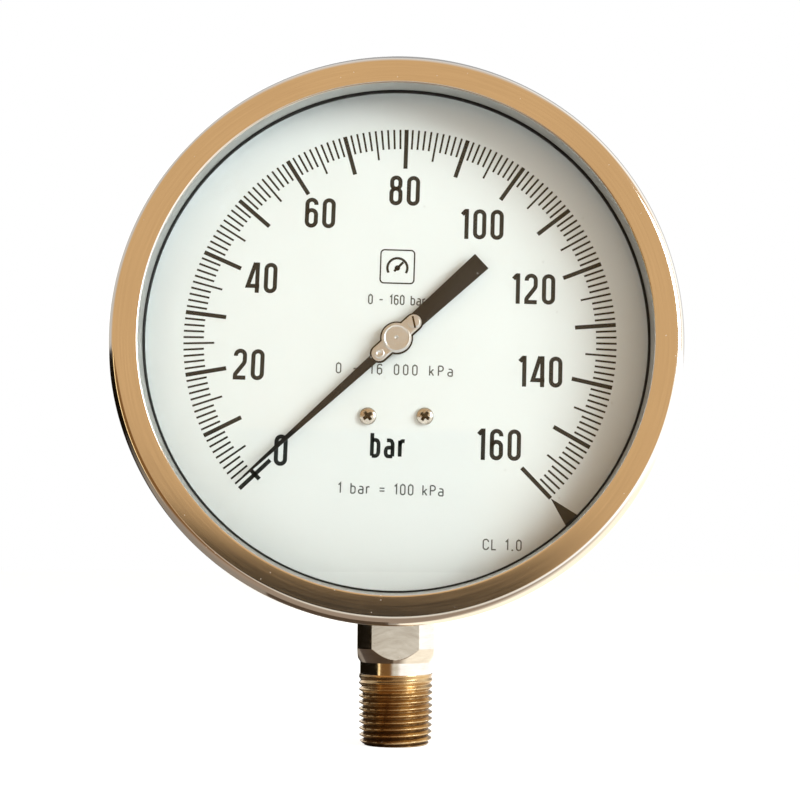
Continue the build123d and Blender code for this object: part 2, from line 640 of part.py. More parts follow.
def movement_screws():
    """Two screws through the rear plate into the socket's arm."""
    return [FACE * pan_screw(spot, BACK_PLATE_FRONT, PAN_HEAD_R, PAN_HEAD_THICK, SCREW_M3_R, 6.5)
            for spot in fixing_spots()]


# ---------------------------------------------------------------- Bourdon tube
def tube_section(grow=0.0):
    """Flat-oval section of the tube, on the bend's centre line."""
    return SlotOverall(TUBE_WIDE + 2 * grow, TUBE_DEEP + 2 * grow)


def bent_tube(section, start, sweep):
    """Turns a section round the dial's axis from a start direction."""
    upright = Plane(origin=(TUBE_R, 0, 0), x_dir=(0, 0, 1), z_dir=(0, 1, 0)) * section
    return Rot(0, 0, start) * revolve(upright, Axis.Z, sweep)


def bourdon_tube():
    """C-shaped flat-oval tube from the socket block round to the tip."""
    walls = tube_section() - tube_section(-TUBE_WALL)
    return FACE * bent_tube(walls, TUBE_END, TUBE_ARC)


def tube_envelope():
    """The solid outside of the tube, for cutting its seats."""
    return FACE * bent_tube(tube_section(), TUBE_END, TUBE_ARC)


def tube_tip():
    """End piece that closes the tube and reaches in to the link."""
    block = Pos(TUBE_R, -TIP_BLOCK_LONG / 2, 0) * Box(TIP_BLOCK_DEEP, TIP_BLOCK_LONG, TIP_BLOCK_WIDE)
    block = fillet(block.edges().filter_by(Axis.Z), 1.5)
    block = Pos(0, 2.5, 0) * block
    length = hypot(TUBE_R - TIP_PIN[0], -2.0 - TIP_PIN[1])
    angle = degrees(atan2(-2.0 - TIP_PIN[1], TUBE_R - TIP_PIN[0]))
    arm = prism(bar(TIP_ARM_WIDE, length, TIP_PIN, angle), SECTOR_BACK, SECTOR_BACK + SECTOR_THICK)
    tip = block + arm - disc(LINK_PIN_R, SECTOR_BACK - 1, SECTOR_BACK + SECTOR_THICK + 1, TIP_PIN)
    return FACE * tip - tube_envelope()


def tip_pin():
    """Pin in the tip's arm that carries the link."""
    head_back = LINK_FRONT + FACE_GAP
    return headed_pin(TIP_PIN, SECTOR_BACK, head_back + 0.6, head_back)


def link_bar():
    """Flat link from the tube's tip to the sector's tail."""
    length = hypot(TAIL_PIN[0] - TIP_PIN[0], TAIL_PIN[1] - TIP_PIN[1])
    angle = degrees(atan2(TAIL_PIN[1] - TIP_PIN[1], TAIL_PIN[0] - TIP_PIN[0]))
    face = bar(3.2, length, TIP_PIN, angle)
    face += Pos(*TIP_PIN) * Circle(LINK_EYE_R - 0.3)
    face += Pos(*TAIL_PIN) * Circle(LINK_EYE_R)
    face -= Pos(*TIP_PIN) * Circle(LINK_PIN_R + PIN_CLEARANCE)
    face -= Pos(*TAIL_PIN) * Circle(LINK_PIN_R + OPEN_PIVOT_CLEARANCE)
    return FACE * prism(face, LINK_BACK, LINK_FRONT)


# ---------------------------------------------------------------- stem and socket
def crest_r(z):
    """Crest radius of the taper thread at a height."""
    return min(THREAD_END_R + z * TAPER, THREAD_MAX_R)


def root_r(z):
    """Root radius of the taper thread at a height, running out at the top."""
    full = THREAD_END_R - THREAD_DEPTH + min(z, THREAD_FULL) * TAPER
    fade = max(0.0, z - THREAD_FULL) / (THREAD_LENGTH - THREAD_FULL)
    return full + fade * (crest_r(z) - full)


def stem_profile():
    """Corners of the turned lower stem, as (radius, height)."""
    points = [(0, 0), (THREAD_END_R - END_CHAMFER, 0), (crest_r(END_CHAMFER), END_CHAMFER)]
    flat = THREAD_PITCH * 0.12
    ridge = 1
    while ridge * THREAD_PITCH < THREAD_LENGTH - THREAD_PITCH / 2:
        root_z = (ridge + 0.5) * THREAD_PITCH - THREAD_PITCH / 4
        crest_z = root_z + THREAD_PITCH / 2
        points.append((root_r(root_z), root_z))
        points.append((crest_r(crest_z), crest_z - flat / 2))
        points.append((crest_r(crest_z), crest_z + flat / 2))
        ridge += 1
    points += [(NECK_R, points[-1][1] + 0.5), (NECK_R, NECK_TOP), (BAR_R, CONE_TOP),
               (BAR_R, BLOCK_BOTTOM), (0, BLOCK_BOTTOM)]
    return points


def stem_socket():
    """Threaded stem, wrench flats, block for the tube and arm for the movement."""
    stem = revolve(make_face(Polyline(*[(r, 0, z) for r, z in stem_profile()], close=True)), Axis.Z, 360)
    middle = (FLATS_TOP + NECK_TOP) / 2
    height = FLATS_TOP - NECK_TOP
    sleeve = Pos(0, 0, middle) * (Cylinder(BAR_R + 1, height) - Box(FLATS, FLATS, height))
    stem -= sleeve
    back = -CASE_FLOOR
    block = Pos(0, (back - BLOCK_FRONT) / 2, (BLOCK_BOTTOM + BLOCK_TOP) / 2) * Box(
        BLOCK_WIDTH, back + BLOCK_FRONT, BLOCK_TOP - BLOCK_BOTTOM)
    inside = Pos(0, 0, DIAL_HEIGHT) * Rot(90, 0, 0) * Cylinder(CASE_INNER_R - 0.2, 4 * FRONT_DEPTH)
    heel = Pos(0, back, BLOCK_BOTTOM - 2) * Box(BLOCK_WIDTH + 2, 2 * CASE_CORNER_R, 12)
    block = (block & inside) - heel
    arm_top = DIAL_HEIGHT - ARM_TOP_DROP
    arm = Pos(0, -PLATE_REAR + ARM_THICK / 2, (BLOCK_TOP - 2 + arm_top) / 2) * Box(
        ARM_WIDTH, ARM_THICK, arm_top - BLOCK_TOP + 2)
    socket = stem + block + arm - tube_envelope()
    tube_z = DIAL_HEIGHT - TUBE_R
    socket -= Pos(0, 0, PORT_DEPTH / 2) * Cylinder(PORT_R, PORT_DEPTH)
    socket -= Pos(0, 0, tube_z / 2) * Cylinder(DUCT_R, tube_z)
    socket -= Pos(-BLOCK_WIDTH / 6, 0, tube_z) * Rot(0, 90, 0) * Cylinder(DUCT_R, BLOCK_WIDTH / 3)
    for x in (-CASE_SCREW_X, CASE_SCREW_X):
        socket -= FACE * disc(SCREW_M4_R, -BACK_DEPTH, -BACK_DEPTH + 9.0, (x, -CASE_SCREW_DROP))
    for spot in fixing_spots():
        socket -= FACE * disc(SCREW_M3_R, BACK_PLATE_FRONT - 6.5, PLATE_REAR, spot)
    return socket


def restrictor_screw():
    """Drilled screw in the pressure port that damps pulses."""
    body = Cylinder(PORT_R, RESTRICTOR_LENGTH) - Cylinder(RESTRICTOR_HOLE_R, RESTRICTOR_LENGTH)
    return Pos(0, 0, PORT_DEPTH - RESTRICTOR_LENGTH / 2) * body


def stem_grommet(shell):
    """Rubber grommet that seals the socket in the case's hole."""
    height = GROMMET_TOP - GROMMET_BOTTOM
    middle = (GROMMET_TOP + GROMMET_BOTTOM) / 2
    grommet = Pos(0, 0, middle) * (Cylinder(GROMMET_R, height) - Cylinder(BAR_R, height))
    return grommet - shell


# ---------------------------------------------------------------- assembly
def build():
    """Every piece by name; a list is a group of identical separate solids."""
    shell = case_shell()
    return {
        "case_shell": shell,
        "bezel_ring": bezel_ring(),
        "window_glass": window_glass(),
        "window_seal": window_seal(),
        "vent_plug": vent_plug(),
        "case_screws": case_screws(),
        "dial_plate": dial_plate(),
        "dial_screws": dial_screws(),
        "dial_posts": dial_posts(),
        "pointer_blade": pointer_blade(),
        "pointer_bush": pointer_bush(),
        "hub_plate": hub_plate(),
        "hub_rivet": hub_rivet(),
        "trim_screw": trim_screw(),
        "pinion_arbor": pinion_arbor(),
        "spring_collet": spring_collet(),
        "hairspring": hairspring(),
        "spring_stud": spring_stud(),
        "sector_gear": sector_gear(),
        "sector_arbor": sector_arbor(),
        "tail_pin": tail_pin(),
        "rear_plate": rear_plate(),
        "front_plate": front_plate(),
        "rear_bushes": rear_bushes(),
        "front_bushes": front_bushes(),
        "movement_pillars": pillars(),
        "plate_screws": plate_screws(),
        "movement_screws": movement_screws(),
        "bourdon_tube": bourdon_tube(),
        "tube_tip": tube_tip(),
        "tip_pin": tip_pin(),
        "link_bar": link_bar(),
        "stem_socket": stem_socket(),
        "restrictor_screw": restrictor_screw(),
        "stem_grommet": stem_grommet(shell),
    }


def report_joints():
    """Prints the joint places and ratios that the motion needs."""
    for name, spot in (("sector", SECTOR_PIVOT), ("flex", FLEX_CENTRE), ("tip pin", TIP_PIN),
                       ("tail pin", TAIL_PIN)):
        print(f"{name}: x {spot[0]:.4f} z {DIAL_HEIGHT + spot[1]:.4f}")
    start = degrees(atan2(TAIL_PIN[1] - TIP_PIN[1], TAIL_PIN[0] - TIP_PIN[0]))
    end_pin = turned_point(TIP_PIN, FLEX_CENTRE, TIP_SWING)
    end_tail = turned_point(TAIL_PIN, SECTOR_PIVOT, SECTOR_SWING)
    finish = degrees(atan2(end_tail[1] - end_pin[1], end_tail[0] - end_pin[0]))
    link_swing = finish - start - TIP_SWING
    ear = polar(EAR_REACH, POINTER_REST + 180)
    print(f"trim screw: x {ear[0]:.4f} z {DIAL_HEIGHT + ear[1]:.4f}")
    print(f"sweep {FULL_SWEEP} sector {SECTOR_SWING:.5f} tip {TIP_SWING:.5f} link {link_swing:.5f}")
    print(f"ratios: sector {-GEAR_RATIO:.6f} tip {-TIP_SWING / FULL_SWEEP:.6f} "
          f"link {-link_swing / FULL_SWEEP:.6f}")
    rest_length = hypot(TAIL_PIN[0] - TIP_PIN[0], TAIL_PIN[1] - TIP_PIN[1])
    end_length = hypot(end_tail[0] - end_pin[0], end_tail[1] - end_pin[1])
    print(f"link length error at the end of the sweep: {end_length - rest_length:.4f}")


os.makedirs("parts", exist_ok=True)
for name, piece in build().items():
    solids = []
    for item in piece if isinstance(piece, list) else [piece]:
        solids += item.solids()
    export_step(Compound(children=solids) if len(solids) > 1 else solids[0], f"parts/{name}.step")
report_joints()
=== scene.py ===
from math import acos, ceil, cos, degrees, hypot, pi, radians, sin, sqrt, tan

import bmesh
import bpy
import numpy as np
from mathutils import Matrix, Vector


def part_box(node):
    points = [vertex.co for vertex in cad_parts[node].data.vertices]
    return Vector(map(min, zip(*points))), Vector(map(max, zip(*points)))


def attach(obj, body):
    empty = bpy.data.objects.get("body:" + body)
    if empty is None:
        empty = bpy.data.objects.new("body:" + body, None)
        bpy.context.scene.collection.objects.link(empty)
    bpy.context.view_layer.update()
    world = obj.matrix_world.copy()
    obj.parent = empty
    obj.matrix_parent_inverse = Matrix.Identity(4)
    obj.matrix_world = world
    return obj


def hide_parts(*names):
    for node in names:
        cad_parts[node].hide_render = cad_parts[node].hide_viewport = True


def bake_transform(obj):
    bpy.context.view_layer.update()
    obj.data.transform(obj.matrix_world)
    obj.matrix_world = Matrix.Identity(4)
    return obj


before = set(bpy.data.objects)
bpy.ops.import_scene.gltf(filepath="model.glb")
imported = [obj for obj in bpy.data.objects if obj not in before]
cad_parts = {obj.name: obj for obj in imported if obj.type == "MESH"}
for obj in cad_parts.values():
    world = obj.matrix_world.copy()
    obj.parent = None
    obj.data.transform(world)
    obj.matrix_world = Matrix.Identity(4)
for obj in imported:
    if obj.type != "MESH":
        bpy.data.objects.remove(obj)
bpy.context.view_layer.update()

# Looks of a dry Bourdon-tube pressure gauge. Lengths below are in millimetres and are turned into
# metres when a mesh is made. The dial's plane has X to the reader's right, Y up and Z (the depth)
# towards the reader.
MM = 0.001


# ---------------------------------------------------------------- sizes taken from the frame
def extent(node):
    """Lowest and highest corner of a CAD node in millimetres."""
    low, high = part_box(node)
    return low / MM, high / MM


def depths(node):
    """Back and front of a CAD node along the dial's axis."""
    low, high = extent(node)
    return -high.y, -low.y


def half_width(node):
    """Half of a CAD node's width."""
    low, high = extent(node)
    return (high.x - low.x) / 2


dial_low, dial_high = extent("dial_plate")
DIAL_Z = (dial_low.z + dial_high.z) / 2
DIAL_R = half_width("dial_plate")
DIAL_BACK, DIAL_FACE = depths("dial_plate")
BEZEL_R = half_width("bezel_ring")
BEZEL_REAR, BEZEL_TOP = depths("bezel_ring")
GLASS_R = half_width("window_glass")
GLASS_BACK, GLASS_FRONT = depths("window_glass")
SEAL_R = half_width("window_seal")
SEAL_BACK, SEAL_FRONT = depths("window_seal")
CASE_BACK, CASE_MOUTH = depths("case_shell")
FLANGE_R = half_width("case_shell")
BLADE_BACK, BLADE_FRONT = depths("pointer_blade")
PLATE_BACK, BOSS_FRONT = depths("hub_plate")
VENT_BACK, VENT_FRONT = depths("vent_plug")
VENT_CAP_R = half_width("vent_plug")

# ---------------------------------------------------------------- sizes of the visible pieces
SHEET = 1.2                 # drawn steel of the case and the bezel
FACE_GAP = 0.1              # room between flat faces that turn past each other
BEZEL_DROP = 0.4            # the front face falls this much towards the window
BEZEL_CORNER = 0.13         # the front's sharp corner would stand this far above its round
BEZEL_FRONT = BEZEL_TOP + BEZEL_CORNER
BEZEL_ROUND = 2.6
WINDOW_R = 72.0
LIP_R = 71.6
LIP_END = SEAL_FRONT + FACE_GAP
TAB_INNER_R = 77.1
TAB_SPAN = 18.0
TAB_MIDDLE = 30.0
FLANGE_THICK = 1.5
FLANGE_BACK = CASE_MOUTH - FLANGE_THICK
TAB_FRONT = FLANGE_BACK - FACE_GAP
NOTCH_SPAN = 23.0
NOTCH_MIDDLE = 60.0
CASE_R = 75.5
CASE_ROUND = 5.0
SEAL_OPENING = 71.1
SEAL_REAR_OPENING = 73.8
EYE_R = 4.2
STEM_HOLE_R = 13.5
VENT_HOLE_R = 9.0
VENT_RISE = 42.0
CASE_SCREW_X = 7.0
CASE_SCREW_DROP = 61.0      # dial's centre down to the screws in the case's back
DIAL_SCREW_X = 8.15
DIAL_SCREW_DROP = 22.2
M3_R = 1.5
M3_HEAD_R = 2.5
M4_R = 2.0
M4_HEAD_R = 3.6
HEAD_RISE = 1.6             # height of both kinds of screw head
CROSS_TURN = 38.0           # how the first screw's cross stands, degrees
CROSS_STEP = 16.0           # and how much further the second one's is turned

PRINT_THICK = 0.03          # screen-printed ink on the dial
PRINT_TURN = -1.55          # the dial sits a little turned on its screws, degrees
PRINT_SHIFT = 0.9           # and the print a little to the right of the pointer's axis
SCALE_START = 225.0
SCALE_SWEEP = 270.0
SCALE_BARS = 160
TICK_OUTER = 62.4
MAJOR_LENGTH = 11.8
MID_LENGTH = 8.9
MINOR_LENGTH = 5.9
MAJOR_WIDTH = 1.2
MINOR_WIDTH = 0.58

POINTER_REST = 222.6
BLADE_TIP = 58.6
BLADE_KNIFE = 52.0
TAIL_LENGTH = 33.2
BLADE_BEVEL = 0.08
HUB_STRETCH = 10.0          # the lobes lie within this distance of the axis
LOBE_R = 4.75
EAR_REACH = 6.7
EAR_LOBE_R = 2.7
BOSS_R = 3.95
PLATE_R = 4.3
PLATE_EAR_R = 2.2
BOSS_THICK = 0.7
HEAD_THICK = 0.5            # heads of the rivet and the trim screw
HEAD_R = 1.5
TRIM_HEAD_R = 1.75
PIN_R = 0.8                 # shanks of the rivet and the trim screw
SLOT_WIDTH = 0.55
SLOT_DEPTH = 0.4
SLOT_TURN = 60.0            # the trim screw's slot against the blade, degrees
HEAD_BACK = BOSS_FRONT - BOSS_THICK
HEAD_FRONT = HEAD_BACK + HEAD_THICK

THREAD_LENGTH = 19.85
THREAD_PITCH = 25.4 / 14
THREAD_FULL = 13.6
THREAD_END_R = 10.33
THREAD_MAX_R = 10.67
THREAD_DEPTH = 1.3
THREAD_TAPER = 1 / 32
THREAD_CHAMFER = 1.2
PORT_R = 3.0
PORT_DEPTH = 12.0
NECK_R = 10.35
NECK_TOP = 23.2
CONE_TOP = 27.2
CONE_STEPS = 24             # rows on the cone, where the flats run out in curves
BAR_R = 12.9
FLATS = 22.0
FLATS_TOP = 37.0
BLOCK_DROP = 71.0           # dial's centre down to the socket block
BLOCK_BOTTOM = DIAL_Z - BLOCK_DROP


# ---------------------------------------------------------------- mesh helpers
DIAL_FRAME = Matrix(((MM, 0, 0, 0), (0, 0, -MM, 0), (0, MM, 0, DIAL_Z * MM), (0, 0, 0, 1)))
STEM_FRAME = Matrix.Diagonal((MM, MM, MM, 1))


def rounded(corners, radii, closed=True, step=9.0):
    """An outline whose corners are turned into arcs of the given radii."""
    points = []
    count = len(corners)
    for i, radius in enumerate(radii):
        here = Vector(corners[i])
        if radius == 0:
            points.append(here)
            continue
        before = (Vector(corners[i - 1]) - here).normalized()
        after = (Vector(corners[(i + 1) % count]) - here).normalized()
        half = before.angle(after) / 2
        centre = here + (before + after).normalized() * radius / sin(half)
        first = here + before * radius / tan(half) - centre
        last = here + after * radius / tan(half) - centre
        turn = pi - 2 * half
        parts = max(2, ceil(degrees(turn) / step))
        for k in range(parts + 1):
            share = k / parts
            spoke = first * sin((1 - share) * turn) + last * sin(share * turn)
            points.append(centre + spoke / sin(turn))
    return points


def tidy_mesh(mesh, frame_matrix, sharp=28.0):
    """Places a mesh, merges its doubles, points its faces outwards and smooths what isn't an edge."""
    work = bmesh.new()
    work.from_mesh(mesh)
    bmesh.ops.remove_doubles(work, verts=work.verts, dist=0.0004)
    bmesh.ops.dissolve_degenerate(work, edges=work.edges, dist=0.0001)
    work.transform(frame_matrix)
    bmesh.ops.recalc_face_normals(work, faces=work.faces)
    work.to_mesh(mesh)
    work.free()
    mesh.shade_smooth()
    mesh.set_sharp_from_angle(angle=radians(sharp))


def add_object(name, mesh):
    """Puts a mesh in the scene as an object at the origin."""
    piece = bpy.data.objects.new(name, mesh)
    bpy.context.scene.collection.objects.link(piece)
    return piece


def settled(piece):
    """Applies a piece's modifiers to its mesh and removes them."""
    graph = bpy.context.evaluated_depsgraph_get()
    mesh = bpy.data.meshes.new_from_object(piece.evaluated_get(graph))
    piece.modifiers.clear()
    piece.data = mesh
    mesh.name = piece.name
    return piece


def weighted(piece):
    """Lets the large faces rule the shading beside small rounds."""
    modifier = piece.modifiers.new("weighted", "WEIGHTED_NORMAL")
    modifier.weight = 80
    modifier.keep_sharp = True
    return settled(piece)


def surface_mesh(name, rows, frame_matrix, wrap_rows=True, sharp=28.0):
    """A mesh from rows of points that close round an axis; rows is (rows, columns, 3)."""
    count, columns, _ = rows.shape
    mesh = bpy.data.meshes.new(name)
    faces = []
    for i in range(count if wrap_rows else count - 1):
        j = (i + 1) % count
        for k in range(columns):
            m = (k + 1) % columns
            faces.append((i * columns + k, i * columns + m, j * columns + m, j * columns + k))
    mesh.from_pydata(rows.reshape(-1, 3).tolist(), [], faces)
    tidy_mesh(mesh, frame_matrix, sharp)
    return mesh


def even_angles(segments, edges=()):
    """Angles of a turned surface in degrees, with a pair of columns at each given edge."""
    angles = {round(i * 360 / segments, 6) for i in range(segments)}
    for edge in edges:
        angles |= {round((edge - 0.01) % 360, 6), round((edge + 0.01) % 360, 6)}
    return np.array(sorted(angles))


def spun(name, outline, frame_matrix=DIAL_FRAME, angles=None, reshape=None, closed=True, sharp=28.0):
    """A turned mesh from (radius, depth) points; reshape may change the radii by angle."""
    angles = even_angles(256) if angles is None else angles
    points = np.array([tuple(p) for p in outline])
    radii = np.repeat(points[:, :1], len(angles), axis=1)
    if reshape:
        radii = reshape(radii, points[:, 1:], angles[None, :])
    heights = np.repeat(points[:, 1:], len(angles), axis=1)
    turn = np.radians(angles)[None, :]
    rows = np.stack([radii * np.cos(turn), radii * np.sin(turn), heights], axis=2)
    return surface_mesh(name, rows, frame_matrix, wrap_rows=closed, sharp=sharp)


def in_arc(angles, middle, span):
    """True where an angle lies in any of four equal arcs a quarter turn apart."""
    return np.abs((angles - middle + 45.0) % 90.0 - 45.0) < span / 2


def arc_edges(middle, span):
    """The eight edges of four equal arcs a quarter turn apart."""
    return [middle + side * span / 2 + 90 * i for i in range(4) for side in (-1, 1)]


def cylinder(radius, low, high, spot=(0.0, 0.0), segments=96):
    """A plain cylinder along an axis, as a bmesh in millimetres."""
    work = bmesh.new()
    place = Matrix.Translation((spot[0], spot[1], (low + high) / 2))
    bmesh.ops.create_cone(work, cap_ends=True, segments=segments, radius1=radius, radius2=radius,
                          depth=high - low, matrix=place)
    return work


def carved(piece, cutters):
    """Cuts cylinders, given as (bmesh, frame matrix), out of a piece."""
    helpers = []
    for work, frame_matrix in cutters:
        work.transform(frame_matrix)
        mesh = bpy.data.meshes.new("cutter")
        work.to_mesh(mesh)
        work.free()
        helper = add_object("cutter", mesh)
        helpers.append(helper)
        modifier = piece.modifiers.new("cut", "BOOLEAN")
        modifier.operation = "DIFFERENCE"
        modifier.solver = "EXACT"
        modifier.object = helper
    settled(piece)
    for helper in helpers:
        bpy.data.objects.remove(helper)
    piece.data.set_sharp_from_angle(angle=radians(28))
    return piece


def plate(name, loops, back, front, bevel, turn):
    """A flat plate of the dial's plane from closed loops of points, with a bevelled edge."""
    curve = bpy.data.curves.new(name, "CURVE")
    curve.dimensions = "2D"
    curve.fill_mode = "BOTH"
    curve.extrude = (front - back) / 2 - bevel
    curve.bevel_depth = bevel
    curve.bevel_resolution = 2
    curve.offset = -bevel
    for loop in loops:
        spline = curve.splines.new("POLY")
        spline.points.add(len(loop) - 1)
        for point, (x, y) in zip(spline.points, loop):
            point.co = (x, y, 0, 1)
        spline.use_cyclic_u = True
    helper = add_object(name, curve)
    graph = bpy.context.evaluated_depsgraph_get()
    mesh = bpy.data.meshes.new_from_object(helper.evaluated_get(graph))
    bpy.data.objects.remove(helper)
    place = Matrix.Translation((0, 0, (front + back) / 2)) @ Matrix.Rotation(radians(turn), 4, "Z")
    tidy_mesh(mesh, DIAL_FRAME @ place)
    return mesh


def circle(radius, spot=(0.0, 0.0), parts=96):
    """Points of a circle."""
    return [(spot[0] + radius * cos(2 * pi * i / parts), spot[1] + radius * sin(2 * pi * i / parts))
            for i in range(parts)]


def joined(name, meshes):
    """One mesh from several."""
    work = bmesh.new()
    for mesh in meshes:
        work.from_mesh(mesh)
    result = bpy.data.meshes.new(name)
    work.to_mesh(result)
    work.free()
    return result


# ---------------------------------------------------------------- node helpers
class Tree:
    """A node tree with short ways to add nodes and to link them."""

    def __init__(self, tree):
        self.tree = tree
        self.column = 0

    def add(self, kind, settings=None, **inputs):
        """Adds a node; settings are its properties and inputs are values or sockets by name."""
        node = self.tree.nodes.new(kind)
        node.location = (self.column * 190, -(self.column % 4) * 160)
        self.column += 1
        for key, value in (settings or {}).items():
            setattr(node, key, value)
        for key, value in inputs.items():
            self.feed(node.inputs[key.replace("_", " ")], value)
        return node

    def feed(self, socket, value):
        """Links a socket to another one or sets its value."""
        if isinstance(value, bpy.types.NodeSocket):
            self.tree.links.new(value, socket)
        elif value is not None:
            socket.default_value = value

    def math(self, operation, *values, clamp=False):
        """The output of a Math node."""
        node = self.add("ShaderNodeMath", {"operation": operation, "use_clamp": clamp})
        for socket, value in zip(node.inputs, values):
            self.feed(socket, value)
        return node.outputs[0]

    def vector(self, x=0.0, y=0.0, z=0.0):
        """The output of a Combine XYZ node."""
        return self.add("ShaderNodeCombineXYZ", X=x, Y=y, Z=z).outputs[0]

    def spread(self, value, low, high, to_low=0.0, to_high=1.0):
        """A value moved from one range to another and held inside it."""
        node = self.add("ShaderNodeMapRange", {"clamp": True}, Value=value)
        for name, number in (("From Min", low), ("From Max", high), ("To Min", to_low), ("To Max", to_high)):
            self.feed(node.inputs[name], number)
        return node.outputs["Result"]

    def noise(self, vector, scale, detail=2.0, rough=0.5):
        """The factor of a Noise Texture."""
        node = self.add("ShaderNodeTexNoise", Vector=vector, Scale=scale, Detail=detail, Roughness=rough)
        return node.outputs[0]

    def mix(self, factor, first, second):
        """A colour between two colours."""
        node = self.add("ShaderNodeMix", {"data_type": "RGBA"})
        self.feed(node.inputs["Factor"], factor)
        self.feed(node.inputs[6], first)
        self.feed(node.inputs[7], second)
        return node.outputs[2]

    def band(self, value, low, high, before, after):
        """A colour that turns into another one while a value runs from low to high."""
        return self.mix(self.spread(value, low, high), before, after)


def new_group(kind, name, inputs, outputs):
    """An empty node group with named sockets, and its input and output nodes."""
    group = bpy.data.node_groups.new(name, kind)
    for label, socket_type, value in inputs:
        socket = group.interface.new_socket(name=label, in_out="INPUT", socket_type=socket_type)
        if value is not None:
            socket.default_value = value
    for label, socket_type in outputs:
        group.interface.new_socket(name=label, in_out="OUTPUT", socket_type=socket_type)
    tree = Tree(group)
    return group, tree, tree.add("NodeGroupInput").outputs, tree.add("NodeGroupOutput").inputs


FLOAT = "NodeSocketFloat"
VECTOR = "NodeSocketVector"
INTEGER = "NodeSocketInt"


def turned_marks_group():
    """Fine tool marks that run round the Z axis of the given coordinates."""
    group, tree, given, out = new_group(
        "ShaderNodeTree", "turned_marks",
        [("Vector", VECTOR, None), ("Density", FLOAT, 9000.0), ("Arc", FLOAT, 3.0)],
        [("Height", FLOAT), ("Streaks", FLOAT), ("Radius", FLOAT)])
    parts = tree.add("ShaderNodeSeparateXYZ", Vector=given["Vector"]).outputs
    radius = tree.math("SQRT", tree.math("ADD", tree.math("MULTIPLY", parts[0], parts[0]),
                                         tree.math("MULTIPLY", parts[1], parts[1])))
    tree.feed(out["Radius"], radius)
    safe = tree.math("MAXIMUM", radius, 1e-6)
    across = tree.math("ADD", radius, tree.math("MULTIPLY", parts[2], 0.97))
    place = tree.vector(tree.math("MULTIPLY", across, given["Density"]),
                        tree.math("MULTIPLY", tree.math("DIVIDE", parts[0], safe), given["Arc"]),
                        tree.math("MULTIPLY", tree.math("DIVIDE", parts[1], safe), given["Arc"]))
    tree.feed(out["Height"], tree.noise(place, 1.0, 3.0, 0.65))
    coarse = tree.add("ShaderNodeVectorMath", {"operation": "MULTIPLY"})
    tree.feed(coarse.inputs[0], place)
    coarse.inputs[1].default_value = (0.13, 0.6, 0.6)
    tree.feed(out["Streaks"], tree.spread(tree.noise(coarse.outputs[0], 1.0, 4.0, 0.6), 0.32, 0.68))
    return group


def handled_group():
    """Cloudy handling marks and a fine grain, both from 0 to 1."""
    group, tree, given, out = new_group(
        "ShaderNodeTree", "handled_surface",
        [("Vector", VECTOR, None), ("Cloud Scale", FLOAT, 40.0), ("Grain Scale", FLOAT, 2500.0)],
        [("Clouds", FLOAT), ("Grain", FLOAT)])
    clouds = tree.noise(given["Vector"], given["Cloud Scale"], 5.0, 0.55)
    tree.feed(out["Clouds"], tree.spread(clouds, 0.3, 0.7))
    tree.feed(out["Grain"], tree.noise(given["Vector"], given["Grain Scale"], 2.0, 0.6))
    return group


def specks_group():
    """Scattered tiny round specks, such as dust and small pits, as a mask."""
    group, tree, given, out = new_group(
        "ShaderNodeTree", "specks",
        [("Vector", VECTOR, None), ("Scale", FLOAT, 400.0), ("Size", FLOAT, 0.12), ("Share", FLOAT, 0.2)],
        [("Mask", FLOAT)])
    cells = tree.add("ShaderNodeTexVoronoi", Vector=given["Vector"], Scale=given["Scale"])
    near = tree.math("LESS_THAN", cells.outputs["Distance"], given["Size"])
    pick = tree.add("ShaderNodeSeparateXYZ")
    tree.feed(pick.inputs[0], cells.outputs["Color"])
    chosen = tree.math("LESS_THAN", pick.outputs[0], given["Share"])
    tree.feed(out["Mask"], tree.math("MULTIPLY", near, chosen))
    return group


TURNED_MARKS = turned_marks_group()
HANDLED = handled_group()
SPECKS = specks_group()


def new_material(name):
    """A material with an empty tree, its Principled shader and its output."""
    material = bpy.data.materials.new(name)
    material.use_nodes = True
    material.node_tree.nodes.clear()
    tree = Tree(material.node_tree)
    shader = tree.add("ShaderNodeBsdfPrincipled")
    output = tree.add("ShaderNodeOutputMaterial")
    tree.feed(output.inputs["Surface"], shader.outputs[0])
    return material, tree, shader


def place_vector(tree, axis):
    """Object coordinates, turned so that Z is the dial's axis or the stem's."""
    coordinates = tree.add("ShaderNodeTexCoord").outputs["Object"]
    if axis != "dial":
        return coordinates
    mapping = tree.add("ShaderNodeMapping", Vector=coordinates)
    mapping.inputs["Location"].default_value = (0, -DIAL_Z * MM, 0)
    mapping.inputs["Rotation"].default_value = (-pi / 2, 0, 0)
    return mapping.outputs[0]


def group_node(tree, group, **inputs):
    """Places a shader node group."""
    return tree.add("ShaderNodeGroup", {"node_tree": group}, **inputs).outputs


def bump(tree, shader, height, strength, distance):
    """Feeds a height to the shader's normal."""
    node = tree.add("ShaderNodeBump", Height=height, Strength=strength, Distance=distance)
    tree.feed(shader.inputs["Normal"], node.outputs[0])


DUST = (0.55, 0.54, 0.52, 1)
BRIGHT_SPECK = (0.85, 0.83, 0.8, 1)
# painted shade: dark brown laid into screw slots and cross recesses, where shade falls
RECESS_SHADE = (0.05, 0.032, 0.016, 1)
LIP_GREY = (0.55, 0.55, 0.53, 1)
# painted shade for the roots of the thread
ROOT_SHADE = (0.09, 0.045, 0.016, 1)


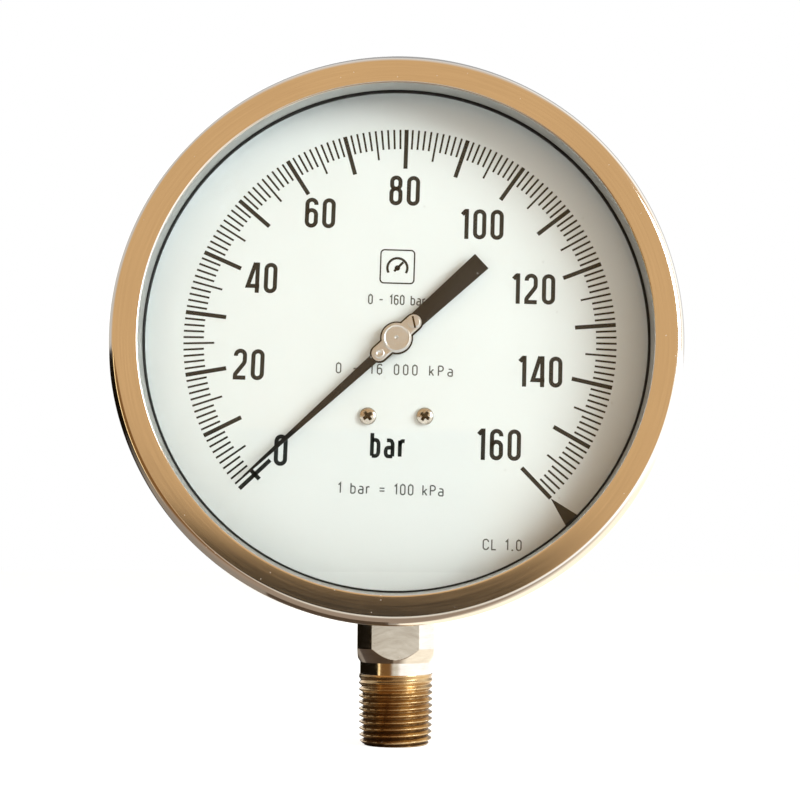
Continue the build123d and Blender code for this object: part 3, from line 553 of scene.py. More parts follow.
def metal(name, colour, shade, roughness, axis="dial", density=9000.0, arc=3.0, marks=0.2, depth=2e-6,
          clouds=60.0, spot_share=0.0, satin_inside=0.0, root_shade_inside=0.0):
    """Bare or plated metal with tool marks round its axis, handling marks, a few specks and painted shade in
    recesses.

    satin_inside and the radius after it are in millimetres: inside the first the metal is duller, and
    inside the second the colour is darkened as painted shade in the thread's roots.
    """
    material, tree, shader = new_material(name)
    place = place_vector(tree, axis)
    turned = group_node(tree, TURNED_MARKS, Vector=place, Density=density, Arc=arc)
    handled = group_node(tree, HANDLED, Vector=place, Cloud_Scale=clouds, Grain_Scale=3000.0)
    tone = tree.math("ADD", tree.math("MULTIPLY", turned["Streaks"], 0.6),
                     tree.math("MULTIPLY", handled["Clouds"], 0.4))
    surface = tree.mix(tone, (*shade, 1), (*colour, 1))
    rough = tree.spread(tone, 0.0, 1.0, roughness * 1.35, roughness * 0.8)
    if spot_share:
        specks = group_node(tree, SPECKS, Vector=place, Scale=800.0, Size=0.11, Share=spot_share)
        surface = tree.mix(specks["Mask"], surface, BRIGHT_SPECK)
        rough = tree.math("ADD", rough, tree.math("MULTIPLY", specks["Mask"], 0.4))
    # painted shade: where the recess attribute is set, the colour turns dark brown
    recess = tree.add("ShaderNodeAttribute", {"attribute_name": "recess"}).outputs["Fac"]
    surface = tree.mix(recess, surface, RECESS_SHADE)
    if satin_inside:
        inside = tree.spread(turned["Radius"], (satin_inside + 0.3) * MM, satin_inside * MM)
        rough = tree.math("ADD", rough, tree.math("MULTIPLY", inside, 0.3))
        surface = tree.mix(inside, surface, LIP_GREY)
    # painted shade: inside this radius the thread's roots are coloured darker, as shade in the grooves
    if root_shade_inside:
        inside = tree.spread(turned["Radius"], (root_shade_inside + 0.45) * MM, root_shade_inside * MM)
        surface = tree.mix(inside, surface, ROOT_SHADE)
        rough = tree.math("ADD", rough, tree.math("MULTIPLY", inside, 0.15))
    tree.feed(shader.inputs["Base Color"], surface)
    tree.feed(shader.inputs["Roughness"], rough)
    shader.inputs["Metallic"].default_value = 1.0
    height = tree.math("ADD", turned["Height"], tree.math("MULTIPLY", handled["Grain"], 0.25))
    bump(tree, shader, height, marks, depth)
    return material


def coating(name, colour, shade, roughness, clouds=30.0, grain=2500.0, depth=4e-6, strength=0.3, level=0.5):
    """Paint, ink, blacking or rubber with a faint texture and cloudy tone."""
    material, tree, shader = new_material(name)
    place = place_vector(tree, "stem")
    handled = group_node(tree, HANDLED, Vector=place, Cloud_Scale=clouds, Grain_Scale=grain)
    specks = group_node(tree, SPECKS, Vector=place, Scale=260.0, Size=0.09, Share=0.12)
    surface = tree.mix(handled["Clouds"], (*shade, 1), (*colour, 1))
    dusty = tree.mix(tree.math("MULTIPLY", specks["Mask"], 0.35), surface, DUST)
    tree.feed(shader.inputs["Base Color"], dusty)
    rough = tree.spread(tree.math("ADD", handled["Clouds"], handled["Grain"]), 0.3, 1.6,
                        roughness * 0.85, roughness * 1.2)
    tree.feed(shader.inputs["Roughness"], rough)
    shader.inputs["Specular IOR Level"].default_value = level
    bump(tree, shader, handled["Grain"], strength, depth)
    return material


def glass_material():
    """Clear flat safety glass with a few faint wipe marks; light for shadows passes straight through."""
    material, tree, shader = new_material("window_glass")
    shader.inputs["Transmission Weight"].default_value = 1.0
    shader.inputs["IOR"].default_value = 1.36
    shader.inputs["Base Color"].default_value = (0.985, 0.995, 0.99, 1)
    place = place_vector(tree, "stem")
    handled = group_node(tree, HANDLED, Vector=place, Cloud_Scale=18.0, Grain_Scale=900.0)
    tree.feed(shader.inputs["Roughness"], tree.spread(handled["Clouds"], 0.4, 1.0, 0.0, 0.012))
    path = tree.add("ShaderNodeLightPath").outputs
    clear = tree.add("ShaderNodeBsdfTransparent", Color=(0.98, 0.99, 0.985, 1))
    blend = tree.add("ShaderNodeMixShader")
    tree.feed(blend.inputs[0], path["Is Shadow Ray"])
    tree.feed(blend.inputs[1], shader.outputs[0])
    tree.feed(blend.inputs[2], clear.outputs[0])
    output = next(n for n in tree.tree.nodes if n.type == "OUTPUT_MATERIAL")
    tree.feed(output.inputs["Surface"], blend.outputs[0])
    return material


def all_materials():
    """Every finish of the gauge by name."""
    return {
        "bezel_steel": metal("bezel_steel", (0.78, 0.76, 0.73), (0.70, 0.67, 0.63), 0.09, density=14000.0,
                             arc=5.0, marks=0.2, depth=1e-6, clouds=25.0, spot_share=0.07,
                             satin_inside=WINDOW_R),
        "case_steel": metal("case_steel", (0.72, 0.71, 0.69), (0.60, 0.59, 0.57), 0.27, density=6000.0,
                            arc=4.0, marks=0.3, depth=2e-6, clouds=18.0, spot_share=0.08),
        "stem_steel": metal("stem_steel", (0.72, 0.70, 0.67), (0.58, 0.55, 0.51), 0.13, axis="stem",
                            density=7000.0, arc=4.0, marks=0.3, depth=2e-6, clouds=120.0, spot_share=0.05),
        # thread_steel: painted shade darkens the thread's roots inside 9.15 mm
        "thread_steel": metal("thread_steel", (0.64, 0.49, 0.28), (0.36, 0.22, 0.10), 0.24, axis="stem",
                              density=7000.0, arc=4.0, marks=0.35, depth=3e-6, clouds=160.0,
                              spot_share=0.06, root_shade_inside=9.15),
        "tube_steel": metal("tube_steel", (0.62, 0.60, 0.57), (0.45, 0.42, 0.38), 0.3, density=5000.0),
        "screw_steel": metal("screw_steel", (0.66, 0.62, 0.56), (0.46, 0.41, 0.34), 0.2, density=12000.0,
                             marks=0.35, clouds=400.0),
        "nickel": metal("nickel", (0.72, 0.73, 0.74), (0.62, 0.62, 0.62), 0.3, density=9000.0, arc=1.5,
                        marks=0.7, depth=6e-6, clouds=250.0),
        "brass": metal("brass", (0.80, 0.60, 0.28), (0.58, 0.40, 0.17), 0.28, density=6000.0, clouds=90.0),
        "bush_brass": metal("bush_brass", (0.84, 0.64, 0.32), (0.66, 0.47, 0.2), 0.22, density=14000.0,
                            clouds=300.0),
        "spring_bronze": metal("spring_bronze", (0.70, 0.42, 0.24), (0.50, 0.28, 0.15), 0.25, clouds=200.0),
        "dial_white": coating("dial_white", (0.80, 0.83, 0.83), (0.77, 0.80, 0.80), 0.42, clouds=14.0,
                              grain=1800.0, strength=0.12),
        "print_black": coating("print_black", (0.014, 0.015, 0.014), (0.009, 0.01, 0.009), 0.6,
                               clouds=160.0, level=0.2),
        "print_grey": coating("print_grey", (0.10, 0.105, 0.10), (0.07, 0.075, 0.07), 0.6,
                              clouds=160.0, level=0.2),
        "pointer_black": coating("pointer_black", (0.008, 0.005, 0.003), (0.004, 0.0025, 0.0015), 0.55,
                                 clouds=70.0, grain=5000.0, strength=0.35, level=0.25),
        "seal_rubber": coating("seal_rubber", (0.012, 0.012, 0.012), (0.006, 0.006, 0.006), 0.55,
                               clouds=60.0, level=0.3),
        "glass": glass_material(),
    }


MATERIALS = all_materials()


def install(name, mesh, finish, body, *nodes):
    """Makes a piece of a mesh: its finish, its body and the CAD nodes that it stands for."""
    mesh.materials.clear()
    mesh.materials.append(MATERIALS[finish])
    piece = add_object(name, mesh)
    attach(piece, body)
    if nodes:
        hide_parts(*nodes)
    return piece


# ---------------------------------------------------------------- case and bezel
def bezel_outline():
    """Section of the folded ring, with the hooks of its bayonet tabs."""
    inside = BEZEL_R - SHEET
    front = BEZEL_FRONT - BEZEL_DROP
    corners = [(BEZEL_R, BEZEL_REAR), (BEZEL_R, BEZEL_FRONT), (WINDOW_R, front), (LIP_R, LIP_END),
               (LIP_R + SHEET, LIP_END), (WINDOW_R + SHEET, front - SHEET), (inside, BEZEL_FRONT - SHEET),
               (inside, TAB_FRONT), (TAB_INNER_R, TAB_FRONT), (TAB_INNER_R, BEZEL_REAR)]
    return rounded(corners, [0.25, BEZEL_ROUND, 0.7, 0.35, 0.35, 0.3, BEZEL_ROUND - SHEET, 0, 0, 0])


def add_bezel():
    """Bayonet ring: flat polished face, rounded rim, rolled lip and four tabs inside its skirt."""
    inside = BEZEL_R - SHEET

    def hide_tabs(radii, heights, angles):
        away = ~in_arc(angles, TAB_MIDDLE, TAB_SPAN)
        return np.where(away & (radii < inside) & (heights < TAB_FRONT + 0.01), inside, radii)

    angles = even_angles(384, arc_edges(TAB_MIDDLE, TAB_SPAN))
    mesh = spun("bezel_ring", bezel_outline(), angles=angles, reshape=hide_tabs)
    weighted(install("bezel", mesh, "bezel_steel", "bezel", "bezel_ring"))


def add_case():
    """Drawn cup with its flange, bayonet notches and the holes for stem, vent and screws."""
    inner = CASE_R - SHEET
    floor = CASE_BACK + SHEET
    corners = [(0, CASE_BACK), (CASE_R, CASE_BACK), (CASE_R, FLANGE_BACK), (FLANGE_R, FLANGE_BACK),
               (FLANGE_R, CASE_MOUTH), (inner, CASE_MOUTH), (inner, floor), (0, floor)]
    outline = rounded(corners, [0, CASE_ROUND, 0.5, 0.3, 0.3, 0.4, CASE_ROUND - SHEET, 0])
    notch_r = SEAL_R + 0.05

    def cut_notches(radii, heights, angles):
        return np.where(in_arc(angles, NOTCH_MIDDLE, NOTCH_SPAN), np.minimum(radii, notch_r), radii)

    angles = even_angles(320, arc_edges(NOTCH_MIDDLE, NOTCH_SPAN))
    mesh = spun("case_shell", outline, angles=angles, reshape=cut_notches)
    piece = install("case", mesh, "case_steel", "housing", "case_shell")
    back = CASE_BACK - 1
    cutters = [(cylinder(STEM_HOLE_R, 20.0, BLOCK_BOTTOM), STEM_FRAME),
               (cylinder(VENT_HOLE_R, back, floor + 1, (0, VENT_RISE)), DIAL_FRAME)]
    for x in (-CASE_SCREW_X, CASE_SCREW_X):
        cutters.append((cylinder(M4_R, back, floor + 1, (x, -CASE_SCREW_DROP), 32), DIAL_FRAME))
    weighted(carved(piece, cutters))


def add_vent():
    """Rubber blow-out plug with a rounded cap and a moulded ring on it."""
    floor = CASE_BACK + SHEET
    corners = [(0, VENT_BACK + 0.25), (6.5, VENT_BACK + 0.25), (7.3, VENT_BACK), (VENT_CAP_R, VENT_BACK),
               (VENT_CAP_R, CASE_BACK), (VENT_HOLE_R, CASE_BACK), (VENT_HOLE_R, floor),
               (VENT_HOLE_R + 1, floor), (VENT_HOLE_R + 1, VENT_FRONT), (0, VENT_FRONT)]
    outline = rounded(corners, [0, 0.2, 0.2, 0.9, 0, 0, 0, 0, 0.4, 0])
    place = DIAL_FRAME @ Matrix.Translation((0, VENT_RISE, 0))
    mesh = spun("vent_plug", outline, place, even_angles(96))
    weighted(install("vent_cap", mesh, "seal_rubber", "housing", "vent_plug"))


def add_window():
    """Glass pane and the rubber channel round it."""
    edge = 0.3
    pane = [(0, GLASS_BACK), (GLASS_R - edge, GLASS_BACK), (GLASS_R, GLASS_BACK + edge),
            (GLASS_R, GLASS_FRONT - edge), (GLASS_R - edge, GLASS_FRONT), (0, GLASS_FRONT)]
    install("glass_pane", spun("window_glass", pane, angles=even_angles(192)), "glass", "housing",
            "window_glass")
    ring = [(SEAL_OPENING, SEAL_FRONT), (SEAL_R, SEAL_FRONT), (SEAL_R, SEAL_BACK),
            (SEAL_REAR_OPENING, SEAL_BACK), (SEAL_REAR_OPENING, GLASS_BACK), (GLASS_R, GLASS_BACK),
            (GLASS_R, GLASS_FRONT), (SEAL_OPENING, GLASS_FRONT)]
    outline = rounded(ring, [0.45, 0.2, 0.2, 0.45, 0, 0, 0, 0])
    weighted(install("seal", spun("window_seal", outline), "seal_rubber", "housing", "window_seal"))


# ---------------------------------------------------------------- dial and its print
def add_dial():
    """Painted dial plate with the pointer's eye."""
    corners = [(EYE_R, DIAL_BACK), (DIAL_R, DIAL_BACK), (DIAL_R, DIAL_FACE), (EYE_R, DIAL_FACE)]
    mesh = spun("dial_plate", rounded(corners, [0.1, 0.15, 0.15, 0.15]))
    weighted(install("dial", mesh, "dial_white", "housing", "dial_plate"))


def scale_tree():
    """Geometry nodes for one set of scale marks.

    Marks whose number is a multiple of Leave Every are left to a longer set, and 0 keeps all.
    """
    group, tree, given, out = new_group(
        "GeometryNodeTree", "scale_marks",
        [("Count", INTEGER, 17), ("Outer Radius", FLOAT, 60.0), ("Length", FLOAT, 6.0), ("Width", FLOAT, 0.6),
         ("Thickness", FLOAT, 0.03), ("First Angle", FLOAT, 0.0), ("Step Angle", FLOAT, 0.1),
         ("Leave Every", INTEGER, 0), ("Material", "NodeSocketMaterial", None)],
        [("Geometry", "NodeSocketGeometry")])
    group.is_modifier = True
    line = tree.add("GeometryNodeMeshLine", Count=given["Count"])
    line.inputs["Offset"].default_value = (0, 0, 0)
    index = tree.add("GeometryNodeInputIndex").outputs[0]
    turn = tree.math("ADD", given["First Angle"], tree.math("MULTIPLY", index, given["Step Angle"]))
    rotation = tree.vector(0.0, 0.0, turn)
    between = tree.math("GREATER_THAN", tree.math("MODULO", index, given["Leave Every"]), 0.5)
    kept = tree.math("MAXIMUM", between, tree.math("LESS_THAN", given["Leave Every"], 0.5))
    bar = tree.add("GeometryNodeMeshCube")
    tree.feed(bar.inputs["Size"], tree.vector(given["Length"], given["Width"], given["Thickness"]))
    reach = tree.math("SUBTRACT", given["Outer Radius"], tree.math("MULTIPLY", given["Length"], 0.5))
    moved = tree.add("GeometryNodeTransform", Geometry=bar.outputs[0])
    tree.feed(moved.inputs["Translation"], tree.vector(reach, 0.0, 0.0))
    placed = tree.add("GeometryNodeInstanceOnPoints", Points=line.outputs[0], Selection=kept,
                      Instance=moved.outputs[0])
    tree.feed(placed.inputs["Rotation"], rotation)
    real = tree.add("GeometryNodeRealizeInstances", Geometry=placed.outputs[0])
    shaded = tree.add("GeometryNodeSetMaterial", Geometry=real.outputs[0], Material=given["Material"])
    tree.feed(out["Geometry"], shaded.outputs[0])
    return group


def grown(name, group, values):
    """The plain mesh that a geometry node group makes with the given inputs."""
    holder = add_object(name, bpy.data.meshes.new(name))
    modifier = holder.modifiers.new(name, "NODES")
    modifier.node_group = group
    for item in group.interface.items_tree:
        if item.item_type == "SOCKET" and item.in_out == "INPUT" and item.name in values:
            modifier[item.identifier] = values[item.name]
    graph = bpy.context.evaluated_depsgraph_get()
    mesh = bpy.data.meshes.new_from_object(holder.evaluated_get(graph))
    mesh.name = name
    bpy.data.objects.remove(holder)
    return mesh


PRINT_FRAME = (DIAL_FRAME @ Matrix.Translation((PRINT_SHIFT, 0, DIAL_FACE))
               @ Matrix.Rotation(radians(PRINT_TURN), 4, "Z"))


def add_scale():
    """Three sets of marks: every bar, every five and every ten."""
    group = scale_tree()
    step = -SCALE_SWEEP / SCALE_BARS
    sets = [("marks_major", 10, MAJOR_LENGTH, MAJOR_WIDTH, 0),
            ("marks_middle", 5, MID_LENGTH, MINOR_WIDTH, 2),
            ("marks_minor", 1, MINOR_LENGTH, MINOR_WIDTH, 5)]
    for name, bars, length, width, leave in sets:
        values = {"Count": SCALE_BARS // bars + 1, "Outer Radius": TICK_OUTER, "Length": length,
                  "Width": width, "Thickness": PRINT_THICK, "First Angle": radians(SCALE_START),
                  "Step Angle": radians(step * bars), "Leave Every": leave,
                  "Material": MATERIALS["print_black"]}
        mesh = grown(name, group, values)
        tidy_mesh(mesh, PRINT_FRAME)
        install(name, mesh, "print_black", "housing")


def ribbon(points, width, closed=False):
    """A flat printed stroke along points, as lists of vertices and faces."""
    line = [Vector(p).to_2d() for p in points]
    if closed and (line[0] - line[-1]).length < 1e-6:
        line.pop()
    count = len(line)
    sides = []
    for i, here in enumerate(line):
        before = line[i - 1] if (closed or i > 0) else None
        after = line[(i + 1) % count] if (closed or i < count - 1) else None
        into = (here - before).normalized() if before is not None else (after - here).normalized()
        away = (after - here).normalized() if after is not None else into
        along = (into + away).normalized()
        normal = Vector((-along.y, along.x))
        reach = width / 2 / max(0.35, normal.dot(Vector((-into.y, into.x))))
        sides.append((here + normal * reach, here - normal * reach))
    vertices = []
    for left, right in sides:
        for height in (PRINT_THICK / 2, -PRINT_THICK / 2):
            vertices += [(left.x, left.y, height), (right.x, right.y, height)]
    faces = []
    for i in range(count if closed else count - 1):
        a = 4 * i
        b = 4 * ((i + 1) % count)
        faces += [(a, a + 1, b + 1, b), (a + 2, b + 2, b + 3, a + 3), (a, b, b + 2, a + 2),
                  (a + 1, a + 3, b + 3, b + 1)]
    if not closed:
        end = 4 * (count - 1)
        faces += [(0, 2, 3, 1), (end, end + 1, end + 3, end + 2)]
    return vertices, faces


CAP = 7.75                  # height of a numeral's centre line
HALF = 1.31                 # half its width
NIB = 1.2                   # stroke of the numerals


def numeral_strokes(sign):
    """Centre lines of a numeral as (points, closed), from its own left edge, and its width."""
    end = NIB / 2
    if sign == "0":
        box = [(HALF, 0), (HALF, CAP), (-HALF, CAP), (-HALF, 0)]
        return [(rounded(box, [1.3] * 4), True)], 2 * HALF
    if sign == "1":
        stem = [(0.7, -end), (0.7, CAP + end)]
        flag = [(-0.62, CAP - 1.1), (0.45, CAP + 0.1)]
        return [(stem, False), (flag, False)], 0.75
    if sign == "2":
        path = [(-HALF, CAP - 1.5), (-HALF, CAP), (HALF, CAP), (HALF, 4.45), (-HALF, 0.95), (-HALF, 0),
                (HALF + 0.4, 0)]
        return [(rounded(path, [0, 1.3, 1.29, 1.8, 1.0, 0, 0]), False)], 2 * HALF
    if sign == "4":
        stem = [(1.28, -end), (1.28, CAP + end)]
        arm = [(0.66, CAP + end * 0.85), (-1.42, 1.4), (1.95, 1.4)]
        return [(stem, False), (arm, False)], 2.75
    if sign == "6":
        path = [(HALF, CAP - 1.5), (HALF, CAP), (-HALF, CAP), (-HALF, 0), (HALF, 0), (HALF, 4.65),
                (-HALF, 4.65), (-HALF, 3.2)]
        return [(rounded(path, [0, 1.3, 1.3, 1.3, 1.3, 1.3, 1.3, 0]), False)], 2 * HALF
    low = [(HALF, 0), (HALF, 4.4), (-HALF, 4.4), (-HALF, 0)]
    top = [(HALF - 0.1, 4.4), (HALF - 0.1, CAP), (-HALF + 0.1, CAP), (-HALF + 0.1, 4.4)]
    return [(rounded(low, [1.3] * 4), True), (rounded(top, [1.2] * 4), True)], 2 * HALF


SMALL_CAP = 2.8             # height of the small lettering's centre line
UNIT_CAP = 6.5
UNIT_STROKE = 1.1
SMALL_STROKE = 0.38
# Text, gap between letters, height, middle of its foot and squeeze of its width.
UNIT_LINE = ("bar", 0.47, UNIT_CAP, (-2.3, -33.7), 0.68)
SMALL_LINES = [("1 bar = 100 kPa", 0.36, SMALL_CAP, (-1.2, -44.4), 1.0),
               ("CL 1.0", 0.34, SMALL_CAP, (30.7, -59.0), 1.0),
               ("0 - 160 bar", 0.31, 2.6, (-1.2, 10.2), 0.88),
               ("0 - 16 000 kPa", 0.5, SMALL_CAP, (-1.3, -10.2), 1.0)]
NUMERAL_GAP = 2.45
NUMERAL_R = {1: 46.5, 2: 44.0, 3: 41.6}     # middle of a numeral by its number of digits


def letter_strokes(sign):
    """Centre lines of a letter, and its width, for a cap height of one."""
    letters = {
        "b": ([([(0, 1.0), (0, 0)], False),
               (rounded([(0, 0.7), (0.42, 0.7), (0.42, 0), (0, 0)], [0, 0.2, 0.2, 0]), False)], 0.42),
        "a": ([(rounded([(0.06, 0.7), (0.44, 0.7), (0.44, 0)], [0, 0.2, 0]), False),
               (rounded([(0.44, 0.38), (0, 0.38), (0, 0), (0.44, 0)], [0, 0.17, 0.17, 0]), False)], 0.44),
        "r": ([([(0, 0.7), (0, 0)], False),
               (rounded([(0, 0.46), (0, 0.7), (0.3, 0.68)], [0, 0.18, 0]), False)], 0.3),
        "k": ([([(0, 1.0), (0, 0)], False), ([(0.38, 0.64), (0, 0.26)], False),
               ([(0.13, 0.4), (0.4, 0)], False)], 0.4),
        "P": ([([(0, 0), (0, 1.0)], False),
               (rounded([(0, 1), (0.48, 1), (0.48, 0.48), (0, 0.48)], [0, 0.25, 0.25, 0]), False)], 0.48),
        "C": ([(rounded([(0.52, 0.74), (0.52, 1), (0, 1), (0, 0), (0.52, 0), (0.52, 0.26)],
                        [0, 0.25, 0.25, 0.25, 0.25, 0]), False)], 0.52),
        "L": ([([(0, 1), (0, 0), (0.42, 0)], False)], 0.42),
        "=": ([([(0, 0.58), (0.5, 0.58)], False), ([(0, 0.3), (0.5, 0.3)], False)], 0.5),
        "-": ([([(0, 0.48), (0.42, 0.48)], False)], 0.42),
        ".": ([([(0, 0), (0.17, 0)], False)], 0.17),
        "1": ([([(0.2, 0), (0.2, 1.0), (0.0, 0.8)], False)], 0.25),
        "0": ([(rounded([(0.44, 0), (0.44, 1), (0, 1), (0, 0)], [0.22] * 4), True)], 0.44),
        "6": ([(rounded([(0.42, 0.86), (0.42, 1), (0, 1), (0, 0), (0.44, 0), (0.44, 0.6), (0, 0.6), (0, 0.4)],
                        [0, 0.12, 0.22, 0.22, 0.22, 0.22, 0.2, 0]), False)], 0.44),
        " ": ([], 0.3),
    }
    return letters[sign]


def print_mesh(name, strokes, width):
    """A printed mesh from strokes that are already in place on the dial."""
    work = bmesh.new()
    for points, closed in strokes:
        vertices, faces = ribbon(points, width, closed)
        made = [work.verts.new(v) for v in vertices]
        for face in faces:
            work.faces.new([made[i] for i in face])
    mesh = bpy.data.meshes.new(name)
    work.to_mesh(mesh)
    work.free()
    mesh.transform(PRINT_FRAME)
    return mesh


def line_of_text(glyphs, text, gap, scale, middle, narrow):
    """Strokes of a centred line of text; narrow squeezes its width."""
    placed = []
    x = 0.0
    for sign in text:
        strokes, width = glyphs(sign)
        placed.append((strokes, x, width))
        x += width + gap
    total = x - gap
    lines = []
    for strokes, left, width in placed:
        for points, closed in strokes:
            moved = [(middle[0] + (left + p[0] - total / 2) * scale * narrow, middle[1] + p[1] * scale)
                     for p in points]
            lines.append((moved, closed))
    return lines


def numeral_glyph(sign):
    """A numeral measured from its left edge."""
    strokes, width = numeral_strokes(sign)
    shift = width / 2 if sign != "1" else 0.0
    return [([(p[0] + shift, p[1]) for p in points], closed) for points, closed in strokes], width


def add_numerals():
    """Upright numerals every twenty bar inside their marks."""
    strokes = []
    for value in range(0, SCALE_BARS + 1, 20):
        angle = radians(SCALE_START - SCALE_SWEEP * value / SCALE_BARS)
        text = str(value)
        radius = NUMERAL_R[len(text)]
        middle = (radius * cos(angle), radius * sin(angle) - CAP / 2)
        strokes += line_of_text(numeral_glyph, text, NUMERAL_GAP, 1.0, middle, 1.0)
    install("numerals", print_mesh("numerals", strokes, NIB), "print_black", "housing")


def add_unit():
    """The unit's name, its conversion, the accuracy class and the range."""
    name = line_of_text(letter_strokes, *UNIT_LINE)
    install("unit_name", print_mesh("unit_name", name, UNIT_STROKE), "print_black", "housing")
    small = [stroke for line in SMALL_LINES for stroke in line_of_text(letter_strokes, *line)]
    install("small_print", print_mesh("small_print", small, SMALL_STROKE), "print_grey", "housing")


def add_symbol():
    """A framed dial-and-needle sign, the zero mark's cross bar and the end-of-scale wedge."""
    centre = (-1.4, 21.3)
    half = 4.9
    frame_corners = [(centre[0] + sx * half, centre[1] + sy * half)
                     for sx, sy in ((1, -1), (1, 1), (-1, 1), (-1, -1))]
    arc = [(centre[0] + 2.9 * cos(radians(a)), centre[1] - 0.4 + 2.9 * sin(radians(a)))
           for a in range(-30, 211, 10)]
    lines = [(rounded(frame_corners, [1.1] * 4), True)]
    install("sign_frame", print_mesh("sign_frame", lines, 0.42), "print_black", "housing")
    needle = [(centre[0] - 0.9, centre[1] - 1.4), (centre[0] + 1.7, centre[1] + 1.4)]
    hub = circle(0.45, (centre[0], centre[1] - 0.4), 24)
    bold = [(arc, False), (needle, False), (hub, True)]
    zero = radians(SCALE_START)
    middle = TICK_OUTER - MAJOR_LENGTH / 2
    across = [(middle * cos(zero) - s * sin(zero), middle * sin(zero) + s * cos(zero)) for s in (-1.9, 1.9)]
    install("sign", print_mesh("sign", bold, 0.7), "print_black", "housing")
    install("zero_cross", print_mesh("zero_cross", [(across, False)], MAJOR_WIDTH), "print_black", "housing")
    add_end_wedge()


def add_end_wedge():
    """Solid wedge from the dial's edge to the last mark."""
    end = radians(SCALE_START - SCALE_SWEEP)
    reach = DIAL_R - 0.4
    half = 0.265 * (reach - TICK_OUTER)
    corners = [(TICK_OUTER, 0), (reach, -half), (reach, half)]
    turned = [(x * cos(end) - y * sin(end), x * sin(end) + y * cos(end)) for x, y in corners]
    work = bmesh.new()
    layers = [[work.verts.new((x, y, side * PRINT_THICK / 2)) for x, y in turned] for side in (-1, 1)]
    work.faces.new(layers[1])
    work.faces.new(layers[0][::-1])
    for i in range(3):
        j = (i + 1) % 3
        work.faces.new([layers[0][i], layers[0][j], layers[1][j], layers[1][i]])
    mesh = bpy.data.meshes.new("end_wedge")
    work.to_mesh(mesh)
    work.free()
    mesh.transform(PRINT_FRAME)
    install("end_wedge", mesh, "print_black", "housing")


# ---------------------------------------------------------------- pointer
def disc_half(x, centre, radius):
    """Half height of a disc at x, or nothing outside it."""
    return sqrt(max(0.0, radius ** 2 - (x - centre) ** 2))


def lobe_half(x, hub_r, ear_r):
    """Half width of a hub disc with an ear on each side joined by a bar."""
    bar = ear_r if abs(x) <= EAR_REACH else 0.0
    ear = max(disc_half(x, EAR_REACH, ear_r), disc_half(x, -EAR_REACH, ear_r))
    return max(disc_half(x, 0.0, hub_r), bar, ear)


def blade_half(x):
    """Half width of the whole blade at a distance along it; the tip is at plus x."""
    if x >= 0:
        taper = 1.55 + (0.45 - 1.55) * min(x, BLADE_KNIFE) / BLADE_KNIFE
        if x > BLADE_KNIFE:
            taper = 0.45 - 0.2 * (x - BLADE_KNIFE) / (BLADE_TIP - BLADE_KNIFE)
    else:
        taper = 2.2 + 0.65 * -x / TAIL_LENGTH
    return max(taper, lobe_half(x, LOBE_R, EAR_LOBE_R))


def mirrored_loop(half, low, high, step=0.1):
    """A closed loop of points at plus and minus a half width, with few points on straight runs."""
    places = [low]
    x = -HUB_STRETCH
    while x < HUB_STRETCH:
        if low < x < high:
            places.append(x)
        x += step
    places += [p for p in (BLADE_KNIFE, high) if p <= high and p > places[-1]]
    upper = [(x, half(x)) for x in places]
    return upper + [(x, -y) for x, y in reversed(upper)]


def add_blade():
    """Blackened pointer blade with a square tail and a knife tip."""
    outline = mirrored_loop(blade_half, -TAIL_LENGTH, BLADE_TIP)
    bush = circle(3.25, parts=64)
    mesh = plate("pointer_blade", [outline, bush], BLADE_BACK, BLADE_FRONT, BLADE_BEVEL, POINTER_REST)
    install("blade", mesh, "pointer_black", "blade", "pointer_blade")


def add_hub():
    """Nickelled hub plate with its turned boss, the rivet and the slotted trim screw."""
    turn = Matrix.Rotation(radians(POINTER_REST), 4, "Z")
    ear_end = EAR_REACH + PLATE_EAR_R
    outline = mirrored_loop(lambda x: max(0.02, lobe_half(x, PLATE_R, PLATE_EAR_R)), -ear_end, ear_end, 0.06)
    base = plate("hub_base", [outline], PLATE_BACK, HEAD_BACK, 0.06, POINTER_REST)
    boss = [(0, HEAD_BACK - 0.1), (BOSS_R, HEAD_BACK - 0.1), (BOSS_R, BOSS_FRONT - 0.05),
            (BOSS_R - 0.45, BOSS_FRONT), (BOSS_R - 0.7, BOSS_FRONT - 0.14), (0.5, BOSS_FRONT - 0.02),
            (0.34, BOSS_FRONT - 0.45), (0, BOSS_FRONT - 0.6)]
    outline = rounded(boss, [0, 0, 0.15, 0.3, 0.25, 0.1, 0.1, 0])
    top = spun("hub_boss", outline, DIAL_FRAME @ turn, even_angles(128), closed=False, sharp=40)
    weighted(install("hub", joined("hub_plate", [base, top]), "nickel", "pointer", "hub_plate"))
    tail = BLADE_BACK - 0.5
    rivet = [(0, tail), (PIN_R, tail), (PIN_R, HEAD_BACK), (HEAD_R, HEAD_BACK), (HEAD_R, HEAD_FRONT),
             (0.75, HEAD_FRONT), (0.55, HEAD_FRONT - 0.12), (0, HEAD_FRONT - 0.2)]
    outline = rounded(rivet, [0, 0, 0, 0, 0.3, 0.1, 0.2, 0])
    place = DIAL_FRAME @ turn @ Matrix.Translation((EAR_REACH, 0, 0))
    mesh = spun("hub_rivet", outline, place, even_angles(64), closed=False)
    weighted(install("rivet", mesh, "nickel", "pointer", "hub_rivet"))
    add_trim_screw(turn)


